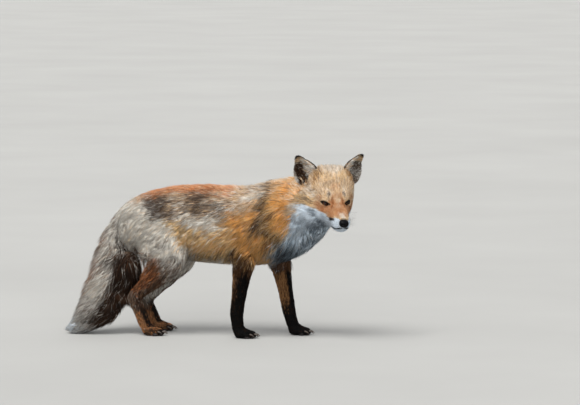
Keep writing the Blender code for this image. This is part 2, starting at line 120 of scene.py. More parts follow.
def waves(points, size, seed, count=9):
    """Smooth noise from -1 to 1: a sum of sine waves about this long that run every way."""
    rng = np.random.default_rng(seed)
    total = np.zeros(len(points))
    for _ in range(count):
        way = unit(rng.normal(size=3)) / (size * rng.uniform(0.6, 1.6))
        total += np.sin(2 * math.pi * (points @ way) + rng.uniform(0, 2 * math.pi))
    return total / math.sqrt(count) * 0.9


def spline(rows, steps):
    """Catmull-Rom through rows of numbers, with this many steps to each span."""
    rows = np.array(rows, float)
    padded = np.vstack([2 * rows[0] - rows[1], rows, 2 * rows[-1] - rows[-2]])
    t = (np.arange(steps) / steps)[:, None]
    out = []
    for k in range(1, len(padded) - 2):
        a, b, c, d = padded[k - 1 : k + 3]
        curve = 2 * b + (c - a) * t + (2 * a - 5 * b + 4 * c - d) * t**2 + (3 * b - a - 3 * c + d) * t**3
        out.append(0.5 * curve)
    return np.vstack(out + [rows[-1:]])


def linear(colour):
    """A colour given as three bytes, in linear light."""
    share = np.asarray(colour, float) / 255
    return np.where(share <= 0.04045, share / 12.92, ((share + 0.055) / 1.055) ** 2.4)


# ---- Meshes ----


def link(name, data):
    thing = bpy.data.objects.new(name, data)
    bpy.context.scene.collection.objects.link(thing)
    return thing


def mesh_of(name, points, faces):
    mesh = bpy.data.meshes.new(name)
    mesh.from_pydata([tuple(p) for p in points], [], [tuple(int(i) for i in f) for f in faces])
    shape = bmesh.new()
    shape.from_mesh(mesh)
    bmesh.ops.recalc_face_normals(shape, faces=shape.faces)
    shape.to_mesh(mesh)
    shape.free()
    return mesh


def apply_modifiers(thing):
    graph = bpy.context.evaluated_depsgraph_get()
    graph.update()
    mesh = bpy.data.meshes.new_from_object(thing.evaluated_get(graph))
    thing.modifiers.clear()
    thing.data = mesh
    return thing


def read(items, key, kind=float, width=3):
    """One property of a mesh's points, edges or triangles, as rows of this width."""
    found = np.empty(len(items) * width, kind)
    items.foreach_get(key, found)
    return found.reshape(-1, width)


def places(mesh):
    return read(mesh.vertices, "co")


def set_places(mesh, points):
    mesh.vertices.foreach_set("co", np.asarray(points, float).ravel())
    mesh.update()


def normals(mesh):
    return read(mesh.vertex_normals, "vector")


def triangles(mesh):
    mesh.calc_loop_triangles()
    return read(mesh.loop_triangles, "vertices", int)


def keep_numbers(mesh, name, values):
    """Numbers kept at a mesh's points, three to each."""
    layer = mesh.attributes.new(name, "FLOAT_VECTOR", "POINT")
    layer.data.foreach_set("vector", np.asarray(values, np.float32).ravel())


def keep_colours(mesh, colours):
    full = np.concatenate([colours, np.ones((len(colours), 1))], 1)
    layer = mesh.color_attributes.new("coat_colour", "FLOAT_COLOR", "POINT")
    layer.data.foreach_set("color", full.astype(np.float32).ravel())


def from_shape(name, shape):
    mesh = bpy.data.meshes.new(name)
    shape.to_mesh(mesh)
    shape.free()
    return mesh


def grid_faces(rows, columns, wrap):
    """Quads over a grid of points, closed round its columns if wrap is set."""
    i, j = np.meshgrid(np.arange(rows - 1), np.arange(columns - (not wrap)), indexing="ij")
    i, j = i.ravel(), j.ravel()
    n = (j + 1) % columns
    return np.stack([i * columns + j, i * columns + n, (i + 1) * columns + n, (i + 1) * columns + j], 1)


def tube_mesh(name, rings):
    """A closed mesh over rings of points, with a point in the middle of each end."""
    rings = np.asarray(rings)
    count, sides = rings.shape[:2]
    points = np.vstack([rings.reshape(-1, 3), rings[0].mean(0), rings[-1].mean(0)])
    faces = [tuple(f) for f in grid_faces(count, sides, True)]
    first, last = count * sides, count * sides + 1
    for j in range(sides):
        n = (j + 1) % sides
        faces.append((first, n, j))
        faces.append((last, (count - 1) * sides + j, (count - 1) * sides + n))
    return mesh_of(name, points, faces)


def tube_along(line, radii, sides, closed=False):
    """Rings round a line of points."""
    line = np.asarray(line, float)
    ahead = np.roll(line, -1, 0) - np.roll(line, 1, 0) if closed else np.gradient(line, axis=0)
    ahead = unit(ahead)
    side = unit(np.cross(ahead, [0.31, 0.17, 0.93]))
    over = np.cross(ahead, side)
    turn = 2 * math.pi * np.arange(sides) / sides
    ring = side[:, None] * np.cos(turn)[None, :, None] + over[:, None] * np.sin(turn)[None, :, None]
    return line[:, None] + ring * np.asarray(radii, float).reshape(-1, 1, 1)


def join(name, meshes):
    """Several meshes as one, which may overlap."""
    shape = bmesh.new()
    for mesh in meshes:
        shape.from_mesh(mesh)
    return from_shape(name, shape)


# ---- Fur guides ----
# place, the way the hair lies, its length and the coat's depth over the skin

BODY_GUIDES = [
    # the back
    ((0.23, 0, 0.405), (-0.9, 0, 0.2), 0.036, 0.018),
    ((0.17, 0, 0.397), (-1, 0, 0), 0.038, 0.018),
    ((0.1, 0, 0.382), (-1, 0, -0.1), 0.038, 0.015),
    ((0, 0, 0.381), (-1, 0, -0.04), 0.034, 0.013),
    ((-0.1, 0, 0.376), (-1, 0, -0.12), 0.034, 0.013),
    ((-0.17, 0, 0.362), (-0.95, 0, -0.35), 0.034, 0.013),
    ((-0.225, 0, 0.335), (-0.7, 0, -0.75), 0.036, 0.014),
    # the flank's upper half
    ((0.07, 0.06, 0.342), (-0.93, 0.02, -0.3), 0.038, 0.016),
    ((0, 0.062, 0.34), (-0.96, 0, -0.22), 0.034, 0.014),
    ((-0.07, 0.062, 0.335), (-0.95, 0, -0.26), 0.034, 0.014),
    ((-0.14, 0.06, 0.322), (-0.9, 0, -0.42), 0.034, 0.014),
    ((-0.205, 0.05, 0.305), (-0.7, 0, -0.72), 0.034, 0.014),
    ((0.085, 0.077, 0.298), (-0.78, 0, -0.55), 0.04, 0.018),
    ((0.02, 0.072, 0.292), (-0.88, 0, -0.42), 0.038, 0.016),
    ((-0.06, 0.07, 0.292), (-0.86, 0, -0.48), 0.036, 0.015),
    ((-0.14, 0.07, 0.275), (-0.68, 0, -0.72), 0.034, 0.014),
    ((-0.21, 0.05, 0.262), (-0.45, 0, -0.9), 0.034, 0.014),
    # the flank's lower half and the belly
    ((0.085, 0.072, 0.24), (-0.58, 0, -0.8), 0.042, 0.017),
    ((0.015, 0.066, 0.238), (-0.62, 0, -0.76), 0.042, 0.016),
    ((-0.06, 0.067, 0.245), (-0.66, 0, -0.72), 0.04, 0.015),
    ((-0.045, 0.05, 0.206), (-0.62, -0.1, -0.78), 0.04, 0.013),
    ((0.04, 0.05, 0.198), (-0.6, -0.1, -0.8), 0.04, 0.013),
    ((0, 0, 0.186), (-0.9, 0, -0.35), 0.034, 0.011),
    ((-0.12, 0, 0.192), (-0.9, 0, -0.3), 0.028, 0.01),
    ((0.11, 0, 0.188), (-0.8, 0, -0.5), 0.034, 0.012),
    # thigh
    ((-0.11, 0.08, 0.225), (-0.5, 0, -0.86), 0.03, 0.012),
    ((-0.175, 0.066, 0.215), (-0.55, 0, -0.84), 0.034, 0.012),
    ((-0.075, 0.066, 0.188), (-0.6, 0, -0.78), 0.024, 0.009),
    ((-0.12, 0.082, 0.18), (-0.66, 0, -0.74), 0.022, 0.008),
    ((-0.165, 0.06, 0.18), (-0.82, 0, -0.58), 0.036, 0.012),
    # neck and shoulder
    ((0.195, 0.045, 0.385), (-0.88, 0.02, -0.35), 0.042, 0.019),
    ((0.145, 0.062, 0.355), (-0.7, 0, -0.66), 0.042, 0.019),
    ((0.205, 0.076, 0.345), (-0.9, 0.02, -0.42), 0.048, 0.022),
    ((0.145, 0.076, 0.318), (-0.62, 0, -0.76), 0.044, 0.02),
    ((0.2, 0.08, 0.305), (-0.72, 0.02, -0.66), 0.05, 0.023),
    ((0.13, 0.08, 0.272), (-0.58, 0, -0.8), 0.044, 0.019),
    ((0.17, 0.078, 0.262), (-0.58, 0, -0.8), 0.048, 0.021),
    ((0.125, 0.07, 0.225), (-0.5, 0, -0.86), 0.04, 0.014),
    ((0.08, 0.07, 0.205), (-0.4, 0, -0.92), 0.028, 0.009),
    # throat and chest
    ((0.242, 0.078, 0.345), (-0.93, 0.04, -0.3), 0.046, 0.022),
    ((0.238, 0.08, 0.305), (-0.68, 0.04, -0.72), 0.052, 0.024),
    ((0.212, 0.072, 0.258), (-0.48, 0, -0.88), 0.054, 0.024),
    ((0.258, 0.052, 0.262), (-0.34, 0, -0.94), 0.056, 0.024),
    ((0.285, 0.01, 0.29), (-0.3, 0, -0.95), 0.054, 0.022),
    ((0.25, 0, 0.242), (-0.42, 0, -0.91), 0.054, 0.022),
    ((0.19, 0.04, 0.212), (-0.36, 0, -0.93), 0.05, 0.019),
    ((0.165, 0, 0.195), (-0.55, 0, -0.83), 0.044, 0.015),
]
TAIL_GUIDES = [
    ((-0.222, -0.002, 0.318), (-0.55, 0, -0.8), 0.036, 0.015),
    ((-0.236, -0.04, 0.285), (-0.48, -0.05, -0.86), 0.038, 0.017),
    ((-0.236, 0.036, 0.285), (-0.48, 0.05, -0.86), 0.038, 0.017),
    ((-0.285, -0.004, 0.262), (-0.42, 0, -0.9), 0.044, 0.021),
    ((-0.262, -0.052, 0.21), (-0.52, -0.06, -0.82), 0.048, 0.024),
    ((-0.262, 0.036, 0.21), (-0.42, 0.02, -0.88), 0.048, 0.024),
    ((-0.318, -0.02, 0.18), (-0.4, -0.04, -0.9), 0.05, 0.026),
    ((-0.212, -0.015, 0.185), (0.12, -0.04, -0.99), 0.056, 0.024),
    ((-0.218, -0.022, 0.15), (-0.2, -0.06, -0.97), 0.05, 0.024),
    ((-0.276, -0.074, 0.15), (-0.52, -0.14, -0.8), 0.05, 0.026),
    ((-0.27, 0.034, 0.15), (-0.42, -0.06, -0.88), 0.05, 0.025),
    ((-0.3, -0.082, 0.1), (-0.58, -0.16, -0.76), 0.05, 0.025),
    ((-0.288, 0.016, 0.095), (-0.5, -0.14, -0.84), 0.048, 0.023),
    ((-0.345, -0.04, 0.09), (-0.5, -0.1, -0.84), 0.048, 0.023),
    ((-0.28, -0.04, 0.042), (-0.76, -0.14, -0.5), 0.044, 0.016),
    ((-0.335, -0.07, 0.045), (-0.72, -0.12, -0.58), 0.042, 0.015),
    ((-0.36, -0.06, 0.02), (-0.9, -0.08, -0.34), 0.034, 0.008),
]
HEAD_GUIDES = [
    # the muzzle
    ((0.07, 0, -0.014), (-1, 0, 0.3), 0.0045, 0.0011),
    ((0.052, 0, -0.004), (-1, 0, 0.22), 0.006, 0.0016),
    ((0.03, 0, 0.004), (-1, 0, 0.42), 0.0075, 0.0022),
    ((0.068, 0.016, -0.03), (-0.95, 0.3, -0.25), 0.005, 0.0012),
    ((0.048, 0.022, -0.02), (-1, 0.22, -0.05), 0.0065, 0.0018),
    ((0.046, 0.025, -0.036), (-0.98, 0.22, -0.22), 0.0075, 0.002),
    ((0.028, 0.026, -0.016), (-0.95, 0.32, -0.05), 0.0075, 0.0022),
    ((0.022, 0.03, -0.034), (-0.96, 0.3, -0.26), 0.01, 0.0034),
    ((0.066, 0, -0.046), (-0.8, 0, -0.6), 0.006, 0.0014),
    ((0.045, 0, -0.05), (-1, 0, -0.15), 0.0085, 0.0026),
    ((0.01, 0, -0.058), (-1, 0, -0.25), 0.012, 0.0036),
    # round the eye
    ((0.018, 0.02, 0.002), (-0.8, 0.1, 0.6), 0.006, 0.0014),
    ((0.006, 0.024, 0.017), (-0.75, 0.15, 0.66), 0.0085, 0.003),
    ((0.01, 0.036, -0.014), (-0.9, 0.42, -0.14), 0.007, 0.0018),
    ((-0.006, 0.042, 0.006), (-0.92, 0.38, 0.06), 0.009, 0.0028),
    # forehead and crown
    ((0.012, 0, 0.018), (-0.7, 0, 0.72), 0.0095, 0.0034),
    ((-0.004, 0, 0.036), (-0.66, 0, 0.76), 0.014, 0.0056),
    ((-0.014, 0.026, 0.038), (-0.74, 0.16, 0.66), 0.015, 0.006),
    ((-0.03, 0, 0.06), (-0.84, 0, 0.54), 0.018, 0.008),
    ((-0.04, 0.034, 0.054), (-0.86, 0.16, 0.46), 0.017, 0.007),
    ((-0.06, 0, 0.07), (-1, 0, -0.05), 0.02, 0.01),
    ((-0.09, 0, 0.056), (-0.86, 0, -0.52), 0.026, 0.013),
    ((-0.1, 0.03, 0.01), (-0.8, 0.1, -0.6), 0.032, 0.017),
    # cheeks
    ((-0.024, 0.052, 0.018), (-0.94, 0.3, 0.02), 0.013, 0.005),
    ((-0.01, 0.052, -0.014), (-0.92, 0.4, -0.12), 0.014, 0.0056),
    ((0.006, 0.042, -0.03), (-0.88, 0.38, -0.45), 0.013, 0.0048),
    ((-0.01, 0.06, -0.036), (-0.74, 0.36, -0.74), 0.026, 0.011),
    ((-0.03, 0.078, -0.036), (-0.7, 0.3, -0.86), 0.034, 0.015),
    ((0.008, 0.032, -0.052), (-0.88, 0.3, -0.46), 0.012, 0.0038),
    ((-0.01, 0.04, -0.056), (-0.82, 0.28, -0.6), 0.018, 0.007),
    ((-0.034, 0.05, -0.064), (-0.78, 0.28, -0.62), 0.032, 0.015),
    ((-0.03, 0.064, -0.004), (-0.9, 0.4, -0.2), 0.024, 0.0105),
    ((-0.05, 0.07, -0.014), (-0.88, 0.36, -0.4), 0.032, 0.015),
    ((-0.054, 0.066, -0.044), (-0.76, 0.32, -0.74), 0.036, 0.017),
    ((-0.076, 0.06, 0.01), (-0.95, 0.2, -0.3), 0.03, 0.016),
    ((-0.03, 0, -0.072), (-0.84, 0, -0.54), 0.03, 0.014),
]


LEG_ASIDE = 0.016  # from the middle of a leg to the guides on its two sides


def leg_guides():
    """Down each leg, from the solids' places: short hair, down the limb and forward over the toes."""
    rows = []
    for name in LEGS:
        foot = np.array(node_middle(foot_node(name))) - SHIFT
        upper = np.array(node_middle(("forearm_" if "fore" in name else "shank_") + name)) - SHIFT
        toes = np.array([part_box(foot_node(name))[1].x - SHIFT[0], foot[1], 0])
        bone = (-0.6, 0, -0.8)
        if "fore" in name:
            own = [
                (upper + [0, 0, 0.05], (-0.12, 0, -1.0), 0.016, 0.005),
                (upper, (-0.06, 0, -1.0), 0.011, 0.003),
                (foot * [1, 1, 0] + [-0.01, 0, 0.045], (0.1, 0, -1.0), 0.009, 0.0024),
            ]
        else:
            own = [
                (upper + [0.02, 0, 0.03], bone, 0.018, 0.006),
                (upper + [-0.02, 0, -0.015], bone, 0.013, 0.004),
                (foot + [-0.015, 0, 0.02], (0.3, 0, -0.95), 0.01, 0.0026),
            ]
        own.append((toes + [-0.042, 0, 0.026], (0.6, 0, -0.8), 0.0085, 0.0022))
        own.append((toes + [-0.018, 0, 0.018], (0.9, 0, -0.42), 0.0065, 0.0018))
        for hand in (1, -1):
            rows += [(place + [0, hand * LEG_ASIDE, 0], *rest) for place, *rest in own]
    return rows


def gather_guides():
    """Every guide with its mirror image, in the world: places, ways, and lengths with depths."""
    where, way, sizes = [], [], []
    for rows, axes in ((BODY_GUIDES, np.eye(3)), (HEAD_GUIDES, HEAD_AXES)):
        for place, lie, length, deep in rows:
            for hand in (1, -1) if place[1] else (1,):
                mirror = np.array([1, hand, 1])
                start = EYES if axes is HEAD_AXES else np.zeros(3)
                where.append(axes @ (np.array(place) * mirror) + start + SHIFT)
                way.append(axes @ (np.array(lie) * mirror))
                sizes.append((length, deep))
    for place, lie, length, deep in TAIL_GUIDES + leg_guides():
        where.append(np.array(place) + SHIFT)
        way.append(np.array(lie, float))
        sizes.append((length, deep))
    return np.array(where), unit(np.array(way)), np.array(sizes)


GUIDE_PLACES, GUIDE_WAYS, GUIDE_SIZES = gather_guides()
GUIDE_REACH = 0.02  # how softly one guide gives way to the next


def guided(points):
    """The blended way, length and depth of the coat at points."""
    ways, sizes = [], []
    for part in np.array_split(points, max(1, len(points) // 20000)):
        far = ((part[:, None] - GUIDE_PLACES[None]) ** 2).sum(2)
        share = np.exp(-(far - far.min(1, keepdims=True)) / GUIDE_REACH**2)
        share /= share.sum(1, keepdims=True)
        ways.append(share @ GUIDE_WAYS)
        sizes.append(share @ GUIDE_SIZES)
    ways, sizes = np.vstack(ways), np.vstack(sizes)
    return ways, sizes[:, 0], sizes[:, 1]


# ---- The head's skin ----

SKULL = [
    # ahead, widest level, half width, top, bottom, power above, power below
    (-0.112, 0, 0.028, 0.032, -0.036, 2, 2),
    (-0.098, 0.002, 0.046, 0.054, -0.062, 2.2, 2),
    (-0.078, 0.004, 0.0595, 0.069, -0.077, 2.8, 1.9),
    (-0.056, 0.004, 0.0645, 0.0745, -0.078, 3.4, 1.9),
    (-0.036, 0.002, 0.0625, 0.0685, -0.074, 3, 2),
    (-0.018, -0.004, 0.056, 0.0535, -0.068, 2.6, 2.2),
    (-0.004, -0.01, 0.048, 0.037, -0.063, 2.3, 2.5),
    (0.009, -0.016, 0.0385, 0.021, -0.059, 2.2, 2.7),
    (0.022, -0.022, 0.0306, 0.0085, -0.056, 2.3, 2.7),
    (0.036, -0.025, 0.0266, 0.001, -0.055, 2.4, 2.6),
    (0.05, -0.027, 0.0241, -0.004, -0.0545, 2.5, 2.6),
    (0.062, -0.028, 0.0215, -0.0085, -0.053, 2.5, 2.6),
    (0.071, -0.029, 0.0175, -0.012, -0.0485, 2.4, 2.4),
    (0.0765, -0.03, 0.0115, -0.017, -0.0415, 2.2, 2.2),
]
HEAD_SIDES, HEAD_STEPS = 216, 13

# Pushes on the head's surface: centre (ahead, aside, up), reach, and the way it moves, on both sides
SCULPT = [
    ((0.013, 0.031, 0.001), 0.011, (-0.0075, -0.005, 0)),  # eye hollow
    ((0.026, 0.021, -0.008), 0.008, (-0.0015, -0.003, 0)),  # in front of the eye
    ((0.003, 0.028, 0.016), 0.009, (0.0035, 0.001, 0.0015)),  # brow
    ((0.01, 0.04, -0.016), 0.012, (0.002, 0.0025, 0)),  # cheek bone
    ((0.058, 0.02, -0.03), 0.012, (0, 0.002, 0)),  # whisker pad
    ((-0.008, 0, 0.048), 0.015, (0, 0, -0.003)),  # furrow of the forehead
    ((0.034, 0.02, -0.024), 0.007, (0, -0.0014, 0)),  # fold behind the whisker pad
    ((0, 0.044, -0.02), 0.006, (0, -0.0012, 0.0006)),  # fold under the cheek bone
    ((0.074, 0.008, -0.033), 0.004, (0.0012, 0.0008, 0)),  # wing of the nostril
    ((0.068, 0, -0.044), 0.006, (0.001, 0, -0.001)),  # chin
]
MOUTH = [
    # the closed lips, from under the nose backward, as (ahead, aside, up)
    (0.079, 0, -0.035),
    (0.0725, 0.011, -0.0376),
    (0.06, 0.0195, -0.0416),
    (0.038, 0.0235, -0.0455),
    (0.016, 0.0275, -0.049),
]
MOUTH_REACH = 0.0017
MOUTH_DEPTH = 0.003

# Eyelids: the opening is an almond on a ball about the eye
GAZE_ASIDE = math.radians(15.0)
GAZE_UP = math.radians(21.0)
EYE_SLANT = math.radians(20.0)
EYE_HALF_WIDE = math.radians(62.0)
EYE_HALF_UP = math.radians(17.0)
EYE_HALF_DOWN = math.radians(19.0)
LID_THICK = 0.0011
LID_REACH = (0.0135, 0.019)
LID_INSIDE = EYE_RADIUS - 0.003  # where the surface runs within the almond
LID_FOLD, FOLD_AT, FOLD_WIDE = 0.0007, 2.3, 0.35  # the fold above and below the lids


def away_from_line(points, line):
    """How far points are from a line of straight runs."""
    best = np.full(points.shape[:-1], np.inf)
    for start, end in zip(line[:-1], line[1:]):
        start, way = np.array(start), np.array(end) - np.array(start)
        share = np.clip((points - start) @ way / (way @ way), 0, 1)
        best = np.minimum(best, np.linalg.norm(points - start - share[..., None] * way, axis=-1))
    return best


def gaze(hand):
    """The eye's own axes in the head's frame: the way it looks, outward along the lids, and up."""
    look = np.array([math.cos(GAZE_ASIDE), hand * math.sin(GAZE_ASIDE), math.sin(GAZE_UP)])
    look /= np.linalg.norm(look)
    outward = unit(np.cross([0, 0, 1.0], look)) * hand
    upward = unit(np.cross(look, outward)) * hand
    c, s = math.cos(EYE_SLANT), math.sin(EYE_SLANT)
    return look, outward * c + upward * s, upward * c - outward * s


def eye_opening(points, hand):
    """How far points are from an eye, and where they lie round its almond: 1 is the lids' edge."""
    look, outward, upward = gaze(hand)
    apart = points - np.array([0, hand * EYE_ASIDE, 0])
    far = np.linalg.norm(apart, axis=-1)
    ahead = apart @ look
    wide = np.arctan2(apart @ outward, ahead)
    tall = np.arctan2(apart @ upward, ahead)
    half = np.where(tall > 0, EYE_HALF_UP, EYE_HALF_DOWN)
    return far, (np.abs(wide) / EYE_HALF_WIDE) ** 1.5 + (np.abs(tall) / half) ** 2


def with_lids(points):
    """Wraps the surface over each eye, open inside the almond."""
    for hand in (1, -1):
        middle = np.array([0, hand * EYE_ASIDE, 0])
        far, edge = eye_opening(points, hand)
        ball = LID_INSIDE + (EYE_RADIUS + LID_THICK - LID_INSIDE) * smoothstep(0.8, 1.1, edge)
        crease = LID_FOLD * np.exp(-(((edge - FOLD_AT) / FOLD_WIDE) ** 2))
        share = fall(*LID_REACH, far)
        ahead = (points - middle) @ gaze(hand)[0]
        share = share * smoothstep(-0.004, 0.002, ahead)
        way = (points - middle) / np.maximum(far, 1e-6)[..., None]
        points = points + way * (share * (ball - crease - far))[..., None]
    return points


def head_rings():
    rings = []
    for ahead, level, wide, top, bottom, above, below in spline(SKULL, HEAD_STEPS):
        turn = 2 * math.pi * np.arange(HEAD_SIDES) / HEAD_SIDES
        c, s = np.cos(turn), np.sin(turn)
        power = np.where(s > 0, above, below)
        aside = wide * np.sign(c) * np.abs(c) ** (2 / power)
        reach = np.where(s > 0, top - level, level - bottom)
        tall = level + reach * np.sign(s) * np.abs(s) ** (2 / power)
        rings.append(np.stack([np.full(HEAD_SIDES, ahead), aside, tall], axis=1))
    points = np.array(rings)
    for hand in (1, -1):
        mirror = np.array([1, hand, 1])
        for centre, reach, push in SCULPT:
            share = 0.5 if centre[1] == 0 else 1.0
            far = np.linalg.norm(points - np.array(centre) * mirror, axis=2)
            points = points + share * np.exp(-((far / reach) ** 2))[..., None] * np.array(push) * mirror
        crease = np.exp(-((away_from_line(points, np.array(MOUTH) * mirror) / MOUTH_REACH) ** 2))
        outward = np.sign(points[..., 1:2]) * np.array([0, 0.94, 0]) + np.array([0.35, 0, 0])
        points = points - MOUTH_DEPTH * crease[..., None] * outward
    return points


def head_skin():
    """The head, drawn in from the coat's outline by the coat's depth, then with its lids."""
    mesh = tube_mesh("head_skin", head_rings())
    points = places(mesh)
    deep = guided(head_to_world(points))[2]
    near = np.minimum(*(eye_opening(points, hand)[0] for hand in (1, -1)))
    deep = deep * smoothstep(0.01, 0.018, near)
    points = points - normals(mesh) * deep[:, None]
    set_places(mesh, head_to_world(with_lids(points)))
    return link("head_skin", mesh)


# ---- Ears ----

EARS = ((1, "ear_left"), (-1, "ear_right"))
EAR_ROOT, EAR_TIP = (-0.06, 0.0515, 0.034), (-0.064, 0.092, 0.103)
EAR_TALL = 0.0735
EAR_WIDE = 0.0312  # half the width
EAR_WALL = 0.0022
EAR_CUP = 0.95  # half the angle that the ear wraps round at its root, in radians
EAR_ROWS, EAR_COLUMNS = 44, 40
EAR_TAPER = 0.18  # how much the outer edge draws in at the root
EAR_SUNK = 0.16  # the share of its height that runs on down into the head
EAR_BACK, EAR_BOW = 0.012, 0.01  # how far the leaf stands back, and bows back half way up
EAR_TIP_HALF = 0.0016  # half the width of the very tip


def ear_axes(hand):
    """The ear's root, and its up, facing and across ways, in the head's frame."""
    mirror = np.array([1, hand, 1])
    root = np.array(EAR_ROOT) * mirror
    up = unit(np.array(EAR_TIP) * mirror - root)
    facing = np.array([0.93, hand * 0.36, 0.1])
    facing = unit(facing - up * (facing @ up))
    return root, up, facing, np.cross(up, facing)


def ear_grid(hand):
    root, up, facing, across = ear_axes(hand)
    rows = []
    for v in np.linspace(-EAR_SUNK, 1, EAR_ROWS):
        swell = 0.58 + 0.44 * math.sin(math.pi * min(1, max(0, 1.15 * v + 0.15)))
        half = max(EAR_WIDE * (1 - max(v, 0) ** 3.0) ** 0.56 * swell, EAR_TIP_HALF)
        wrap = EAR_CUP * (1.15 - 0.65 * v)
        bend = wrap * np.linspace(-1, 1, EAR_COLUMNS)
        radius = half / math.sin(wrap)
        deep = radius * (1 - np.cos(bend)) - EAR_BACK - EAR_BOW * math.sin(math.pi * max(v, 0))
        line = root + up * (EAR_TALL * v)
        aside = radius * np.sin(bend)
        outer = aside * hand > 0
        aside = np.where(outer, aside * (1 - EAR_TAPER * (1 - max(v, 0)) ** 2), aside)
        rows.append(line + across * aside[:, None] + facing * deep[:, None])
    return np.array(rows)


def ear_skin(hand):
    """A cupped leaf with a thin wall, which thins out to its rim."""
    grid = ear_grid(hand)
    rows, columns = grid.shape[:2]
    along, over = np.gradient(grid, axis=0), np.gradient(grid, axis=1)
    out = unit(np.cross(along, over))
    rim = np.minimum(1, 6 * np.minimum(*np.meshgrid(
        0.5 - np.abs(np.linspace(-0.5, 0.5, columns)), np.linspace(1, 0, rows))))
    half = EAR_WALL / 2 * (0.25 + 0.75 * rim)[..., None]
    front, back = (grid + out * half).reshape(-1, 3), (grid - out * half).reshape(-1, 3)
    sheet = grid_faces(rows, columns, False)
    total = rows * columns
    edge = [i * columns for i in range(rows)]
    edge += [(rows - 1) * columns + j for j in range(1, columns)]
    edge += [i * columns + columns - 1 for i in range(rows - 2, -1, -1)]
    edge += [j for j in range(columns - 2, 0, -1)]
    faces = [tuple(f) for f in sheet] + [tuple(f[::-1] + total) for f in sheet]
    for a, b in zip(edge, edge[1:] + edge[:1]):
        faces.append((a, b, b + total, a + total))
    mesh = mesh_of("ear_skin", head_to_world(np.vstack([front, back])), faces)
    return link("ear_skin", mesh)


# ---- The body's skin ----

TRUNK_NODES = ["head", "neck", "chest", "loin", "rump", "tail"]
LEG_NODES = {
    "fore_left": ["forearm_fore_left", "paw_fore_left"],
    "fore_right": ["forearm_fore_right", "paw_fore_right"],
    "hind_left": ["thigh_hind_left", "shank_hind_left", "foot_hind_left"],
    "hind_right": ["thigh_hind_right", "shank_hind_right", "foot_hind_right"],
}
EAR_NODES = [name for _, name in EARS]
FORELEGS = LEG_NODES["fore_left"] + LEG_NODES["fore_right"]
THIGHS = ["thigh_hind_left", "thigh_hind_right"]
HINDLEGS = LEG_NODES["hind_left"][1:] + LEG_NODES["hind_right"][1:]
FLESH_NODES = TRUNK_NODES + EAR_NODES + [node for nodes in LEG_NODES.values() for node in nodes]
SKIN_VOXEL = 0.0024
SEAM_GROWTH = 0.0005  # closes the cuts between the solids
BODY_TRIANGLES = 90000
THINNEST = 0.3  # the coat takes no more than this share of the way through the body
PAW_BACK = 0.04  # from the claws' tips back to the middle of the sole
PAW_LENGTH = 0.053
PAW_WIDTH = {"fore": 0.043, "hind": 0.039}
TOE_LEVEL, TOE_HALF = 0.01, 0.0105  # the middle of a toe over the floor, and half its height
RAY_REACH = 0.2  # the longest way through the body that is looked for
TOES = [(-0.36, 0.26), (-0.13, 0.44), (0.13, 0.44), (0.36, 0.26)]  # aside and ahead, as shares


def solid(name, grow):
    """A solid's closed mesh, a little larger."""
    shape = bmesh.new()
    shape.from_mesh(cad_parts[name].data)
    bmesh.ops.remove_doubles(shape, verts=shape.verts, dist=1e-6)
    shape.normal_update()
    for point in shape.verts:
        point.co += point.normal * grow
    return from_shape(name, shape)


def foot_of(name):
    """The middle of a foot's sole, and its width."""
    low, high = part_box(foot_node(name))
    return np.array([high.x - PAW_BACK, (low.y + high.y) / 2, 0.0]), PAW_WIDTH[name[:4]]


def ball_mesh(centre, radii, segments=24, rings=16):
    shape = bmesh.new()
    bmesh.ops.create_uvsphere(shape, u_segments=segments, v_segments=rings, radius=1.0)
    place = Matrix.Translation(centre) @ Matrix.Diagonal((*radii, 1))
    bmesh.ops.transform(shape, matrix=place, verts=shape.verts)
    return from_shape("ball", shape)


def neighbour_mean(mesh, values, passes):
    """Values smoothed over the mesh's edges."""
    a, b = read(mesh.edges, "vertices", int, 2).T
    count = np.bincount(a, minlength=len(values)) + np.bincount(b, minlength=len(values)) + 1
    for _ in range(passes):
        total = values + np.bincount(a, values[b], len(values)) + np.bincount(b, values[a], len(values))
        values = total / count
    return values


def body_skin():
    """The trunk, tail and legs as one surface, drawn in from the solids by the coat's depth."""
    nodes = [node for node in FLESH_NODES if node not in EAR_NODES]
    meshes = [solid(node, SEAM_GROWTH) for node in nodes]
    for name in LEGS:
        sole, width = foot_of(name)
        for aside, ahead in TOES:
            centre = sole + [PAW_LENGTH * (ahead - 0.02), width * aside, TOE_LEVEL]
            meshes.append(ball_mesh(centre, (PAW_LENGTH * 0.24, width * 0.135, TOE_HALF)))
    body = link("body_skin", join("body_skin", meshes))
    remesh = body.modifiers.new("fuse", "REMESH")
    remesh.mode = "VOXEL"
    remesh.voxel_size = SKIN_VOXEL
    apply_modifiers(body)
    mesh = body.data
    points = places(mesh)
    level = points[:, 2]
    for _ in range(2):  # firmer on the trunk than on the feet
        for axis in range(3):
            smooth = neighbour_mean(mesh, points[:, axis], 8)
            points[:, axis] += (smooth - points[:, axis]) * smoothstep(0.02, 0.16, level)
    for axis in range(3):
        points[:, axis] = neighbour_mean(mesh, points[:, axis], 2)
    set_places(mesh, points)
    out = normals(mesh)
    tree = BVHTree.FromPolygons(points.tolist(), triangles(mesh).tolist())
    through = np.full(len(points), RAY_REACH)
    for k in range(len(points)):
        start, way = Vector(points[k]), -Vector(out[k])
        hit = tree.ray_cast(start + way * 0.001, way, RAY_REACH)
        if hit[0]:
            through[k] = hit[3]
    deep = np.minimum(guided(points)[2], THINNEST * through)
    deep = neighbour_mean(mesh, deep, 12)
    set_places(mesh, points - out * deep[:, None])
    thin = body.modifiers.new("thin", "DECIMATE")
    thin.ratio = BODY_TRIANGLES / (2 * len(mesh.polygons))
    thin.use_collapse_triangulate = True
    return apply_modifiers(body), tree


